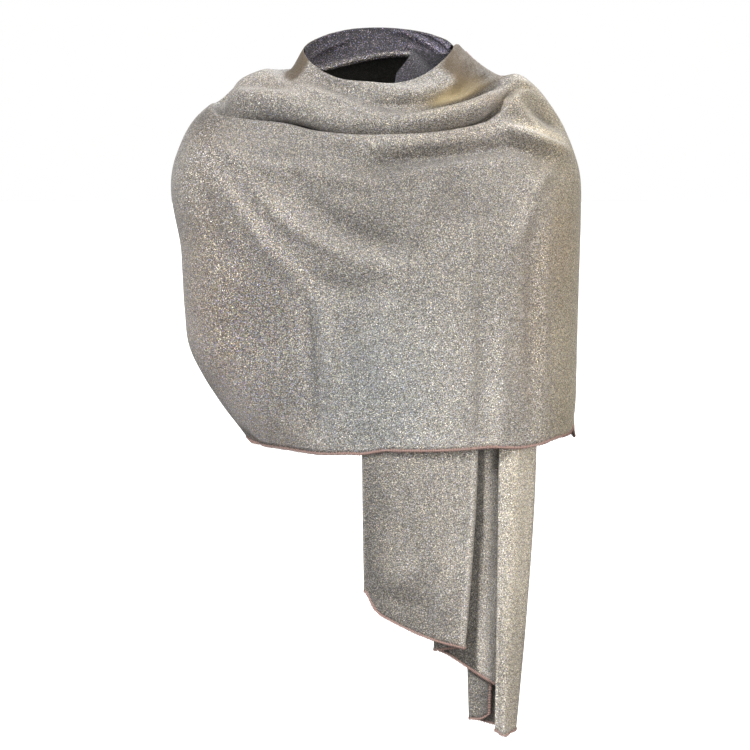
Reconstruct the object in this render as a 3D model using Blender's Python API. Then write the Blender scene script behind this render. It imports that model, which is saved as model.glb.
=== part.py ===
"""A long mesh shawl as it is worn, with no wearer in it: metres, +Z up, the front faces -Y.

The cloth is one rectangle. Its inner end hangs in pleats down the front, it runs from there over the
left shoulder and round the back, over the right shoulder and across the chest, and its outer end goes
over the left shoulder on to the back. Each stretch is a wall of its own, 0.3 mm from the next.
The origin is between the shoulders at the base of the neck, where the wearer carries the cloth.
"""

import math

import bmesh
import bpy
import numpy as np

# Cloth and gaps
WALL = 0.0018
SEAM_GAP = 0.0003
SEAM_TURN = 0.5
LAYER_LIFT = 0.0052

# Angles run from the middle of the front, positive towards the wearer's left, in degrees
RIGHT_SIDE_SEAM = -96.0
LEFT_SIDE_SEAM = 96.0
LIFT_STARTS = 30.0
LIFT_FULL = 64.0

# The worn form, as rings round the body from the neck rim down to the hem
RING_COLUMNS = ("ring", "right_x", "right_z", "left_x", "left_z", "front_y", "front_z",
                "back_y", "back_z", "square", "dip")
RINGS = (
    ("neck rim", -0.081, 0.043, 0.087, 0.048, -0.076, 0.001, 0.052, 0.070, 2.0, 1.25),
    ("collar foot", -0.099, 0.017, 0.109, 0.027, -0.090, -0.012, 0.064, 0.039, 2.0, 1.25),
    ("collar crease", -0.122, 0.021, 0.140, 0.008, -0.096, -0.026, 0.078, 0.021, 2.0, 1.3),
    ("second roll", -0.149, 0.009, 0.160, 0.010, -0.109, -0.040, 0.091, 0.001, 2.0, 1.4),
    ("deep tuck", -0.173, -0.012, 0.179, -0.004, -0.107, -0.056, 0.101, -0.021, 2.05, 1.5),
    ("third roll", -0.196, -0.027, 0.197, -0.027, -0.111, -0.066, 0.108, -0.043, 2.1, 1.6),
    ("upper chest", -0.214, -0.050, 0.211, -0.051, -0.117, -0.081, 0.113, -0.067, 2.15, 1.7),
    ("chest", -0.229, -0.088, 0.225, -0.091, -0.125, -0.110, 0.118, -0.103, 2.2, 2.0),
    ("lower chest", -0.231, -0.124, 0.228, -0.126, -0.130, -0.144, 0.120, -0.138, 2.25, 2.0),
    ("upper arm", -0.221, -0.178, 0.228, -0.183, -0.133, -0.196, 0.119, -0.195, 2.3, 2.0),
    ("elbow", -0.217, -0.244, 0.227, -0.249, -0.131, -0.262, 0.117, -0.259, 2.3, 2.0),
    ("waist", -0.211, -0.296, 0.226, -0.305, -0.129, -0.315, 0.115, -0.311, 2.3, 2.0),
    ("above hem", -0.182, -0.349, 0.225, -0.355, -0.127, -0.360, 0.113, -0.355, 2.2, 2.0),
    ("hem", -0.148, -0.398, 0.222, -0.390, -0.125, -0.402, 0.110, -0.393, 2.1, 2.0),
)
LAST_RING = len(RINGS) - 1
TUCK_RING = 4.0

# The overhang between the second and third rolls
TUCK_MIDDLE = -4.0
TUCK_REACH = 76.0
TUCK_DEPTH = 0.0105
TUCK_LIP = 0.0042

# Folds of the front, as seen from the front: a bent line, its half width, and its height
FOLD_COLUMNS = ("fold", "x1", "z1", "x2", "z2", "x3", "z3", "half_width", "height")
FRONT_FOLDS = (
    ("roll on the right shoulder", -0.175, -0.014, -0.110, -0.008, -0.060, -0.022, 0.007, 0.0030),
    ("hollow over that roll", -0.150, 0.000, -0.110, 0.002, -0.075, -0.008, 0.008, -0.0025),
    ("crest of the second roll", -0.030, -0.026, 0.060, -0.034, 0.135, 0.004, 0.008, 0.0045),
    ("valley behind that crest", 0.050, -0.016, 0.085, -0.010, 0.125, 0.016, 0.009, -0.0060),
    ("groove on the left shoulder", 0.115, -0.044, 0.135, -0.024, 0.157, -0.002, 0.006, -0.0060),
    ("knuckle on the left shoulder", 0.130, -0.036, 0.155, -0.014, 0.182, -0.034, 0.007, 0.0050),
    ("hollow in the left shoulder", 0.180, -0.019, 0.195, -0.034, 0.205, -0.058, 0.010, -0.0050),
    ("ridge to the left arm", 0.150, -0.044, 0.180, -0.054, 0.222, -0.074, 0.006, 0.0045),
    ("trough under the third roll", 0.010, -0.084, 0.080, -0.066, 0.190, -0.076, 0.011, -0.0060),
    ("crest under that trough", 0.020, -0.104, 0.075, -0.082, 0.205, -0.102, 0.010, 0.0040),
    ("drag from the right shoulder", -0.190, -0.074, -0.120, -0.104, -0.060, -0.184, 0.020, -0.0045),
    ("long drag to the hem", -0.165, -0.134, -0.085, -0.214, -0.066, -0.394, 0.022, 0.0050),
    ("flat beside that drag", -0.195, -0.164, -0.140, -0.254, -0.120, -0.354, 0.032, -0.0060),
    ("soft fold over the pleats", 0.050, -0.124, 0.060, -0.264, 0.066, -0.399, 0.018, 0.0035),
    ("hollow beside the pleats", 0.112, -0.124, 0.120, -0.264, 0.121, -0.399, 0.010, -0.0035),
    ("fold by the left arm", 0.150, -0.114, 0.150, -0.264, 0.150, -0.399, 0.013, 0.0040),
    ("hollow by the left arm", 0.180, -0.124, 0.177, -0.264, 0.176, -0.399, 0.010, -0.0040),
)

# Folds that hang down the back and the outer end: angle at the shoulder and at the hem
DROP_COLUMNS = ("fold", "top_angle", "hem_angle", "half_width", "height_top", "height_hem")
BACK_FOLDS = (
    ("behind the right arm", 242.0, 238.0, 7.0, 0.001, 0.006),
    ("right shoulder blade", 222.0, 219.0, 8.0, -0.001, -0.006),
    ("right of the spine", 201.0, 203.0, 8.0, 0.001, 0.006),
    ("spine", 184.0, 186.0, 8.0, -0.001, -0.006),
    ("left of the spine", 166.0, 168.0, 7.0, 0.001, 0.004),
)
END_FOLDS = (
    ("behind the left arm", 112.0, 106.0, 4.0, 0.001, 0.006),
    ("first flute", 122.0, 117.0, 4.0, 0.0, -0.002),
    ("second flute", 132.0, 127.0, 4.5, 0.003, 0.008),
    ("third flute", 142.0, 137.0, 4.0, 0.0, -0.002),
    ("free edge", 154.0, 148.0, 5.0, 0.003, 0.008),
)

# The outer end over the back: its upper edge falls from the neck to its free edge
END_TOP_RING = 0.0
END_LOW_RING = 3.9
END_TOP_ANGLE = 160.0
END_HEM_ANGLE = 152.0
END_DROP = 0.022

# The inner end's stretch under the front, from the left side seam to the pleats
UNDER_STOP = 20.0
UNDER_TOP_RINGS = (0.25, 1.25)
UNDER_LOW_RING = 6.5
UNDER_SHRINK = 0.14
UNDER_SINK = 0.008
UNDER_ANGLES = (94.0, 72.0)

# The turned-in edge at the nape
NAPE_START = 112.0
NAPE_STOP = 250.0
NAPE_INSET = 0.0025
NAPE_BULGE = 0.0022
NAPE_TOP_DROP = 0.0006
NAPE_LEAN = 0.016
NAPE_DEPTH = 0.036
NAPE_SAG = 0.010

# The pleated inner end: its folds in order, where each is at the hem of the front and at its own hem,
# how low its hem is, how far behind the front the cloth comes to it and leaves it, and how far
# forward the cloth that leaves it swells
PLEAT_COLUMNS = ("fold", "x_high", "x_low", "hem_z", "comes", "leaves", "swell")
PLEATS = (
    ("hidden edge", 0.0520, 0.0470, -0.584, 0.0076, 0.0076, 0.0000),
    ("left fold", -0.0140, -0.0120, -0.554, 0.0068, 0.0022, 0.0000),
    ("rounded corner", 0.0060, 0.0060, -0.579, 0.0022, 0.0022, 0.0000),
    ("right fold", 0.1130, 0.1000, -0.618, 0.0022, 0.0070, 0.0000),
    ("second left fold", 0.0680, 0.0655, -0.622, 0.0130, 0.0176, 0.0000),
    ("under the first panel", 0.0860, 0.0820, -0.629, 0.0174, 0.0174, 0.0000),
    ("turn behind the roll", 0.1530, 0.1470, -0.674, 0.0170, 0.0124, 0.0000),
    ("roll starts", 0.1370, 0.1350, -0.716, 0.0112, 0.0066, 0.0060),
    ("roll edge", 0.1810, 0.1600, -0.726, 0.0066, 0.0215, 0.0000),
    ("last left fold", 0.0990, 0.1060, -0.706, 0.0262, 0.0218, 0.0000),
    ("free edge", 0.1330, 0.1290, -0.702, 0.0202, 0.0202, 0.0000),
)
PLEAT_BEND_SHARES = (0.15, 0.3, 0.5, 0.7, 0.85)
PLEAT_LEAN = 1.5
PLEAT_TOP_X = (0.040, 0.155)
PLEAT_TOP_Z = -0.102
PLEAT_CLEAR_Z = (-0.120, -0.165)
PLEAT_CLEARANCE = 0.0135
FRONT_HEM_Z = -0.400
MOST_SLOPE = 1.8

# Samples
FRONT_COLUMNS = 46
FRONT_RING_STOPS = (0.0, 0.5, 1.0, 1.5, 2.0, 2.4, 2.8, 3.2, 3.5, 3.7, 3.85, 4.0, 4.15, 4.35, 4.7, 5.1,
                    5.5, 6.0, 6.5, 7.0, 7.7, 8.5, 9.3, 10.1, 11.0, 12.0, 13.0)
BACK_COLUMNS = 30
BACK_RING_STOPS = (0.0, 0.5, 1.0, 1.6, 2.3, 3.0, 3.8, 4.6, 5.5, 6.5, 7.5, 8.6, 9.7, 10.8, 12.0, 13.0)
END_COLUMNS = 18
END_ROWS = 15
UNDER_COLUMNS = 15
UNDER_ROWS = 10
NAPE_COLUMNS = 18
NAPE_ROWS = 5
PLEAT_ROWS = 11
PLEAT_STEP = 0.0145

# Finish
CLOTH_COLOUR = (0.40, 0.37, 0.33, 1.0)
CLOTH_ROUGHNESS = 0.5
CLOTH_METALLIC = 0.35


def column(rows, names, name):
    """One named column of a table, as numbers."""
    return np.array([row[names.index(name)] for row in rows], float)


def ease(low, high, value):
    """0 at low, 1 at high, smooth between."""
    share = np.clip((value - low) / (high - low), 0.0, 1.0)
    return share * share * (3.0 - 2.0 * share)


def through(values, place):
    """A smooth curve through a column's values, read at a place counted in rows."""
    first = np.clip(np.floor(place).astype(int), 0, len(values) - 2)
    part = place - first
    ends = np.concatenate([[2 * values[0] - values[1]], values, [2 * values[-1] - values[-2]]])
    a, b, c, d = (ends[first + k] for k in range(4))
    return b + 0.5 * part * ((c - a) + part * ((2 * a - 5 * b + 4 * c - d) + part * (3 * (b - c) + d - a)))


RING = {name: column(RINGS, RING_COLUMNS, name) for name in RING_COLUMNS[1:]}


def ring_point(angle, ring):
    """The smooth worn form: a point at an angle round a ring, before any fold."""
    now = {name: through(values, ring) for name, values in RING.items()}
    side, ahead = np.sin(np.radians(angle)), np.cos(np.radians(angle))
    power = 2.0 / now["square"]
    across = np.sign(side) * np.abs(side) ** power
    along = np.abs(ahead) ** power
    middle = (now["left_x"] + now["right_x"]) / 2
    half = (now["left_x"] - now["right_x"]) / 2
    left_share = (1 + across) / 2
    side_z = now["right_z"] * (1 - left_share) + now["left_z"] * left_share
    dip = np.abs(ahead) ** now["dip"]
    front = ahead > 0
    y = np.where(front, now["front_y"], now["back_y"]) * along
    z = side_z + (np.where(front, now["front_z"], now["back_z"]) - side_z) * dip
    return np.stack([middle + half * across, y, z], axis=-1)


def outward(surface, angle, ring):
    """Unit normals of a surface given as a function of angle and ring, pointing away from the body."""
    step_angle, step_ring = 0.25, 0.01
    ring_low = np.maximum(ring - step_ring, 0.0)
    ring_high = np.minimum(ring + step_ring, LAST_RING)
    round_body = surface(angle + step_angle, ring) - surface(angle - step_angle, ring)
    down_body = surface(angle, ring_high) - surface(angle, ring_low)
    normal = np.cross(down_body, round_body)
    return normal / np.linalg.norm(normal, axis=-1, keepdims=True)


def bent_line(fold):
    """Points along one row of the front folds, from its start past its middle to its end."""
    name, x1, z1, x2, z2, x3, z3, half_width, height = fold
    t = np.linspace(0.0, 1.0, 25)[:, None]
    start, middle, end = np.array([x1, z1]), np.array([x2, z2]), np.array([x3, z3])
    pull = 2 * middle - (start + end) / 2
    return (1 - t) ** 2 * start + 2 * t * (1 - t) * pull + t ** 2 * end, t[:, 0]


def front_relief(point, ahead):
    """How far the folds of the front lift or sink the cloth there."""
    relief = np.zeros(point.shape[:-1])
    for fold in FRONT_FOLDS:
        line, share = bent_line(fold)
        half_width, height = fold[-2], fold[-1]
        away = np.linalg.norm(point[..., None, [0, 2]] - line, axis=-1)
        nearest = away.argmin(axis=-1)
        taper = np.sin(np.pi * (0.12 + 0.76 * share[nearest])) ** 0.8
        relief += height * taper * np.exp(-(away.min(axis=-1) / half_width) ** 2)
    return relief * ease(0.06, 0.30, ahead)


def drop_relief(folds, angle, ring):
    """How far folds that hang from the shoulders lift or sink the cloth there."""
    down = ease(3.0, LAST_RING, ring)
    relief = np.zeros(np.broadcast(angle, ring).shape)
    for name, top_angle, hem_angle, half_width, height_top, height_hem in folds:
        middle = top_angle + (hem_angle - top_angle) * down
        height = height_top + (height_hem - height_top) * down
        relief += height * np.exp(-((angle - middle) / half_width) ** 2)
    return relief * ease(2.0, 4.0, ring)


def moved_out(surface, angle, ring, distance):
    return surface(angle, ring) + outward(surface, angle, ring) * np.asarray(distance)[..., None]


def outer_lift(angle):
    """The front and the outer end ride over the cloth below them on the left shoulder."""
    return LAYER_LIFT * ease(LIFT_STARTS, LIFT_FULL, angle)


def front_surface(angle, ring):
    """The outer face of the stretch across the front."""
    ahead = np.cos(np.radians(angle))
    base = ring_point(angle, ring)
    reach = np.clip(1 - ((angle - TUCK_MIDDLE) / TUCK_REACH) ** 2, 0.0, 1.0) ** 0.6
    into = np.exp(-((ring - TUCK_RING) / 0.30) ** 2)
    lip = np.exp(-((ring - TUCK_RING + 0.42) / 0.30) ** 2)
    chin = np.exp(-((ring - TUCK_RING - 0.40) / 0.30) ** 2)
    distance = outer_lift(angle) + front_relief(base, ahead)
    distance = distance + reach * (0.3 * TUCK_DEPTH * lip - TUCK_DEPTH * into)
    point = moved_out(ring_point, angle, ring, distance)
    point[..., 2] += reach * TUCK_LIP * (chin - lip)
    return point


def back_surface(angle, ring):
    """The outer face of the stretch round the back."""
    return moved_out(ring_point, angle, ring, drop_relief(BACK_FOLDS, angle, ring))


def end_surface(angle, ring):
    """The outer face of the outer end, over the left shoulder and down the back."""
    over = drop_relief(END_FOLDS, angle, ring)
    under = np.maximum(drop_relief(BACK_FOLDS, angle, ring), 0.0)
    point = moved_out(ring_point, angle, ring, LAYER_LIFT + under + over)
    point[..., 2] -= END_DROP * ease(6.0, LAST_RING, ring) * ease(LEFT_SIDE_SEAM, END_HEM_ANGLE, angle)
    return point


def wall_object(name, outer, inner):
    """A closed wall between two grids of points."""
    rows, columns = outer.shape[:2]
    mesh = bpy.data.meshes.new(name)
    points = np.concatenate([outer.reshape(-1, 3), inner.reshape(-1, 3)])
    index = np.arange(rows * columns).reshape(rows, columns)
    shift = rows * columns
    faces = []
    for r in range(rows - 1):
        for c in range(columns - 1):
            a, b = index[r, c], index[r, c + 1]
            d, e = index[r + 1, c], index[r + 1, c + 1]
            faces.append((a, d, e, b))
            faces.append((a + shift, b + shift, e + shift, d + shift))
    rim = list(index[0, :]) + list(index[1:, -1]) + list(index[-1, -2::-1]) + list(index[-2:0:-1, 0])
    for a, b in zip(rim, rim[1:] + rim[:1]):
        faces.append((a, b, b + shift, a + shift))
    mesh.from_pydata(points.tolist(), [], [tuple(int(i) for i in face) for face in faces])
    tidy = bmesh.new()
    tidy.from_mesh(mesh)
    bmesh.ops.recalc_face_normals(tidy, faces=tidy.faces)
    bmesh.ops.triangulate(tidy, faces=tidy.faces)
    tidy.to_mesh(mesh)
    tidy.free()
    mesh.shade_smooth()
    mesh.set_sharp_from_angle(angle=math.radians(50))
    made = bpy.data.objects.new(name, mesh)
    bpy.context.scene.collection.objects.link(made)
    return made


def wall_from(name, surface, angle, ring):
    """A wall whose outer face is the surface, at these angles and rings."""
    angle, ring = np.broadcast_arrays(np.asarray(angle, float), np.asarray(ring, float))
    outer = surface(angle, ring)
    return wall_object(name, outer, outer - outward(surface, angle, ring) * WALL)


def build_front():
    angle = np.linspace(RIGHT_SIDE_SEAM, LEFT_SIDE_SEAM, FRONT_COLUMNS)[None, :]
    ring = np.array(FRONT_RING_STOPS)[:, None]
    return wall_from("front_wrap", front_surface, angle, ring)


def build_back():
    angle = np.linspace(LEFT_SIDE_SEAM + SEAM_TURN, 360.0 + RIGHT_SIDE_SEAM - SEAM_TURN, BACK_COLUMNS)
    return wall_from("back_wrap", back_surface, angle[None, :], np.array(BACK_RING_STOPS)[:, None])


def build_outer_end():
    share = np.linspace(0.0, 1.0, END_COLUMNS)[None, :]
    down = np.linspace(0.0, 1.0, END_ROWS)[:, None]
    top = END_TOP_RING + (END_LOW_RING - END_TOP_RING) * share ** 0.8
    ring = top + (LAST_RING - top) * down
    start = LEFT_SIDE_SEAM + SEAM_TURN
    stop = END_TOP_ANGLE + (END_HEM_ANGLE - END_TOP_ANGLE) * ease(3.0, LAST_RING, ring)
    return wall_from("outer_end", end_surface, start + (stop - start) * share, ring)


def under_surface(angle, ring):
    """The outer face of the inner end where it comes over the left shoulder, inside the front."""
    share = ease(UNDER_ANGLES[0], UNDER_ANGLES[1], angle) * np.ones(np.broadcast(angle, ring).shape)
    point = ring_point(angle, ring)
    point[..., :2] *= 1 - UNDER_SHRINK * share[..., None]
    point[..., 2] -= UNDER_SINK * share
    return point


def build_under():
    share = np.linspace(0.0, 1.0, UNDER_COLUMNS)[None, :]
    down = np.linspace(0.0, 1.0, UNDER_ROWS)[:, None]
    angle = LEFT_SIDE_SEAM - SEAM_TURN + (UNDER_STOP - LEFT_SIDE_SEAM) * share
    top = UNDER_TOP_RINGS[0] + (UNDER_TOP_RINGS[1] - UNDER_TOP_RINGS[0]) * share ** 1.5
    return wall_from("inner_shoulder", under_surface, angle, top + (UNDER_LOW_RING - top) * down)


def nape_face(share_round, share_down, extra):
    """The turned-in edge hangs inside the collar at the nape and leans forward as it falls."""
    angle = NAPE_START + (NAPE_STOP - NAPE_START) * share_round
    fade = np.sin(np.pi * share_round) ** 0.5
    top = ring_point(angle, np.full_like(angle, 0.0))
    out = outward(ring_point, angle, np.full_like(angle, 0.05))
    out[..., 2] = 0.0
    out = out / np.linalg.norm(out, axis=-1, keepdims=True)
    inset = NAPE_INSET + extra + NAPE_BULGE * share_down ** 0.5 + NAPE_LEAN * fade * share_down ** 1.6
    point = top - out * inset[..., None]
    sag = NAPE_SAG * np.sin(2 * np.pi * share_round)
    point[..., 2] -= NAPE_TOP_DROP + (NAPE_DEPTH * (0.45 + 0.55 * fade) + sag) * share_down
    return point


def build_nape():
    share_round = np.linspace(0.0, 1.0, NAPE_COLUMNS)[None, :]
    share_down = np.linspace(0.0, 1.0, NAPE_ROWS)[:, None]
    share_round, share_down = np.broadcast_arrays(share_round, share_down)
    outer = nape_face(share_round, share_down, np.zeros(share_round.shape))
    inner = nape_face(share_round, share_down, np.full(share_round.shape, WALL))
    return wall_object("nape_fold", outer, inner)


def behind_front(x, z, behind):
    """The y of a point that lies so far behind the inner face of the front, seen from the front."""
    angle = np.degrees(np.arcsin(np.clip(x / 0.24, -0.95, 0.95)))
    ring = np.full(np.shape(x), 9.0)
    for _ in range(24):
        here = ring_point(angle, ring)
        by_angle = (ring_point(angle + 0.5, ring) - here) / 0.5
        by_ring = (ring_point(angle, ring + 0.02) - here) / 0.02
        miss_x, miss_z = x - here[..., 0], z - here[..., 2]
        turn = by_angle[..., 0] * by_ring[..., 2] - by_ring[..., 0] * by_angle[..., 2]
        turn = np.where(np.abs(turn) < 1e-7, 1e-7, turn)
        step_angle = (miss_x * by_ring[..., 2] - by_ring[..., 0] * miss_z) / turn
        step_ring = (by_angle[..., 0] * miss_z - miss_x * by_angle[..., 2]) / turn
        angle = np.clip(angle + np.clip(step_angle, -6, 6), -80, 80)
        ring = np.clip(ring + np.clip(step_ring, -0.8, 0.8), 0.0, LAST_RING)
    base = ring_point(angle, ring)
    slope = 1 / np.clip(-outward(ring_point, angle, ring)[..., 1], 1 / MOST_SLOPE, 1.0)
    lifted = (outer_lift(angle) + front_relief(base, np.cos(np.radians(angle)))) * ease(-0.10, -0.16, z)
    return base[..., 1] + (WALL + behind - lifted) * slope


PLEAT = {name: column(PLEATS, PLEAT_COLUMNS, name) for name in PLEAT_COLUMNS[1:]}


def pleat_samples():
    """The cloth's way through its pleats: which fold it has left, the share of the way on, and of the bend."""
    samples = []
    last = len(PLEATS) - 1
    for row in range(last):
        length = abs(PLEAT["x_high"][row + 1] - PLEAT["x_high"][row])
        steps = max(2, round(length / PLEAT_STEP))
        straight = row > 0 and PLEAT["comes"][row] == PLEAT["leaves"][row]
        samples += [(row, share, 0.0) for share in np.linspace(0, 1, steps + 1)[int(straight):]]
        if row + 1 < last and PLEAT["comes"][row + 1] != PLEAT["leaves"][row + 1]:
            samples += [(row, 1.0, bend) for bend in PLEAT_BEND_SHARES]
    return (np.array(values) for values in zip(*samples))


def pleat_plan(folds_x, row, share, bend):
    """x and the distance behind the front, for folds at these places across the cloth."""
    half = np.abs(PLEAT["leaves"] - PLEAT["comes"]) / 2
    start, stop = folds_x[..., row], folds_x[..., row + 1]
    way = np.sign(stop - start)
    first, final = start + way * half[row], stop - way * half[row + 1]
    turn = np.pi * bend
    comes, leaves = PLEAT["comes"][row + 1], PLEAT["leaves"][row + 1]
    x = first + (final - first) * share + way * half[row + 1] * np.sin(turn)
    behind = PLEAT["leaves"][row] + (comes - PLEAT["leaves"][row]) * share
    behind = behind + (leaves - comes) * (1 - np.cos(turn)) / 2
    return x, behind - PLEAT["swell"][row] * np.sin(np.pi * share)


def pleat_centre(row, share, bend, share_down):
    """The middle of the pleated wall, along its way and down its height."""
    hem = PLEAT["hem_z"][row] + (PLEAT["hem_z"][row + 1] - PLEAT["hem_z"][row]) * share
    z = PLEAT_TOP_Z + (hem - PLEAT_TOP_Z) * share_down
    hanging = np.clip((z - FRONT_HEM_Z) / (hem - FRONT_HEM_Z), 0.0, 1.0) ** PLEAT_LEAN
    rising = ease(FRONT_HEM_Z + 0.05, PLEAT_TOP_Z, z)
    high, low = PLEAT["x_high"], PLEAT["x_low"]
    spread = (high - high.min()) / (high.max() - high.min())
    top = PLEAT_TOP_X[0] + (PLEAT_TOP_X[1] - PLEAT_TOP_X[0]) * spread
    x_high, behind = pleat_plan(high, row, share, bend)
    x_low = pleat_plan(low, row, share, bend)[0]
    x_top = pleat_plan(top, row, share, bend)[0]
    x = x_high + (x_low - x_high) * hanging
    x = x + (x_top - x) * rising
    clear = SEAM_GAP + WALL / 2 + PLEAT_CLEARANCE * ease(PLEAT_CLEAR_Z[1], PLEAT_CLEAR_Z[0], z)
    y = behind_front(x, np.maximum(z, FRONT_HEM_Z), clear + behind)
    return np.stack([x, y, z], axis=-1)


def build_inner_end():
    row, share, bend = pleat_samples()
    share_down = np.linspace(0.0, 1.0, PLEAT_ROWS)[:, None]
    centre = pleat_centre(row, share, bend, share_down)
    along = np.gradient(centre, axis=1)
    side = np.stack([along[..., 1], -along[..., 0], np.zeros(along.shape[:2])], axis=-1)
    side = side / np.linalg.norm(side, axis=-1, keepdims=True)
    return wall_object("inner_end", centre + side * WALL / 2, centre - side * WALL / 2)


def cloth_material():
    made = bpy.data.materials.new("glitter mesh")
    made.use_nodes = True
    shader = made.node_tree.nodes["Principled BSDF"]
    shader.inputs["Base Color"].default_value = CLOTH_COLOUR
    shader.inputs["Roughness"].default_value = CLOTH_ROUGHNESS
    shader.inputs["Metallic"].default_value = CLOTH_METALLIC
    made.diffuse_color = CLOTH_COLOUR
    return made


def main():
    for old in list(bpy.data.objects):
        bpy.data.objects.remove(old)
    finish = cloth_material()
    for build in (build_front, build_back, build_outer_end, build_nape, build_under, build_inner_end):
        build().data.materials.append(finish)


main()
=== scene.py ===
"""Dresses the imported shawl: glitter mesh cloth, its creases, its rolled pink edge, and a plain stage.

Metres, +Z up, the front faces -Y, +X towards the wearer's left. The cloth is made as thin sheets on the
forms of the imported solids, from the same rings, folds and pleats with finer creases added.
"""

import math

import bmesh
import bpy
import numpy as np
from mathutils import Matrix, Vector


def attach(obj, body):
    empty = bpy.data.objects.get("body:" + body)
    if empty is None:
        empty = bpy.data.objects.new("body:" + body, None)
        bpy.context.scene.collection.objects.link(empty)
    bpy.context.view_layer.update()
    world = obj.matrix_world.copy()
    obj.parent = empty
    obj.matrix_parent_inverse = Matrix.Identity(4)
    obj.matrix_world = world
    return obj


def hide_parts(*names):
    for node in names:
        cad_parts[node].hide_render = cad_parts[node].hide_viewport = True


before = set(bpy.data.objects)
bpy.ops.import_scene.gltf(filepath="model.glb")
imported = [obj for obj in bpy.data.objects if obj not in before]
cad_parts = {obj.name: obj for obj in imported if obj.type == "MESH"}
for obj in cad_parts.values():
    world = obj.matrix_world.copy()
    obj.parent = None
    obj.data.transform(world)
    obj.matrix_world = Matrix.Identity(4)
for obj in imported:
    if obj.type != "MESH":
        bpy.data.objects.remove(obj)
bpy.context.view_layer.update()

bl_info = {
    "name": "Mesh shawl",
    "version": (1, 0, 0),
    "blender": (4, 5, 0),
    "location": "3D View > Sidebar > Shawl",
    "description": "Makes the cloth, sewn edge and stage of a worn glitter mesh shawl",
    "category": "Object",
}

# Angles run from the middle of the front, positive towards the wearer's left, in degrees.
# A turn counts on from the pleats over the left shoulder, round the back and across the front.
# Heights round the body are counted in rings, from the neck rim down to the hem.
LEFT_SIDE = 96.0
BACK_ENDS = 264.0
FRONT_ENDS = 456.0
# How far the outer layer lies over the inner one at the left side, and where it starts to rise
LAYER_LIFT = 0.0052
LIFT_ANGLES = (30.0, 64.0)
SOLID_WALL = 0.0018
# How many columns of points each stretch has, then the rows over the rolls and below them
STRETCH_COLUMNS = (40, 96, 216, 58)
ROLL_ROWS, LOWER_ROWS, ROLLS_END = 69, 49, 6.4

RING_COLUMNS = ("ring", "right_x", "right_z", "left_x", "left_z", "front_y", "front_z",
                "back_y", "back_z", "square", "dip")
RINGS = (
    ("neck rim", -0.081, 0.043, 0.087, 0.048, -0.076, 0.001, 0.052, 0.070, 2.0, 1.25),
    ("collar foot", -0.099, 0.017, 0.109, 0.027, -0.090, -0.012, 0.064, 0.039, 2.0, 1.25),
    ("collar crease", -0.122, 0.021, 0.140, 0.008, -0.096, -0.026, 0.078, 0.021, 2.0, 1.3),
    ("second roll", -0.149, 0.009, 0.160, 0.010, -0.109, -0.040, 0.091, 0.001, 2.0, 1.4),
    ("deep tuck", -0.173, -0.012, 0.179, -0.004, -0.107, -0.056, 0.101, -0.021, 2.05, 1.5),
    ("third roll", -0.196, -0.027, 0.197, -0.027, -0.111, -0.066, 0.108, -0.043, 2.1, 1.6),
    ("upper chest", -0.214, -0.050, 0.211, -0.051, -0.117, -0.081, 0.113, -0.067, 2.15, 1.7),
    ("chest", -0.229, -0.088, 0.225, -0.091, -0.125, -0.110, 0.118, -0.103, 2.2, 2.0),
    ("lower chest", -0.231, -0.124, 0.228, -0.126, -0.130, -0.144, 0.120, -0.138, 2.25, 2.0),
    ("upper arm", -0.221, -0.178, 0.228, -0.183, -0.133, -0.196, 0.119, -0.195, 2.3, 2.0),
    ("elbow", -0.217, -0.244, 0.227, -0.249, -0.131, -0.262, 0.117, -0.259, 2.3, 2.0),
    ("waist", -0.211, -0.296, 0.226, -0.305, -0.129, -0.315, 0.115, -0.311, 2.3, 2.0),
    ("above hem", -0.182, -0.349, 0.225, -0.355, -0.127, -0.360, 0.113, -0.355, 2.2, 2.0),
    ("hem", -0.148, -0.398, 0.222, -0.390, -0.125, -0.402, 0.110, -0.393, 2.1, 2.0),
)
LAST_RING = len(RINGS) - 1

# The deep overhang across the chest: its ring and how far round it reaches
TUCK_RING = 4.0
TUCK_MIDDLE = -7.0
TUCK_REACH = 84.0
TUCK_DEPTH = 0.017
# How far the slit fades, in rings up and down
SLIT_ABOVE, SLIT_BELOW = 0.42, 0.26
# The roll that hangs over the slit: its height, the rings from the slit up to it, and its half width
TUCK_BELLY, BELLY_UP, BELLY_HALF = 0.0055, 1.0, 0.75
# The lips of the slit: rings down from it, half width and share of the height
TUCK_LIP = 0.007
TUCK_LIPS = ((0.38, 0.30, 0.9), (-0.42, 0.34, -1.0))
# Where the tuck strays from its ring: angle, half width and rings down
TUCK_BENDS = ((-66.0, 15.0, 0.45), (-33.0, 13.0, -0.30), (66.0, 16.0, -0.72))

# The hem of the front: the rings that it shapes, its waves as angle, half width and height, and its ripple
HEM_RINGS = (12.0, 13.0)
HEM_WAVES = ((60.0, 13.0, 0.004), (-19.0, 8.0, 0.0020))
HEM_RIPPLE, HEM_RIPPLES = 0.0018, 9.0
# It is higher over the pleats, between these angles
OVER_PLEATS = (-17.0, -6.0, 24.0, 46.0)
OVER_PLEATS_LIFT = 0.0070
# At the left side it lifts, and its corner is drawn down and out: angle and half width of each
SIDE_WAVE, SIDE_WAVE_LIFT = (84.0, 7.0), 0.007
CORNER, CORNER_DROP, CORNER_OUT = (97.0, 6.0), 0.010, 0.006

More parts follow.
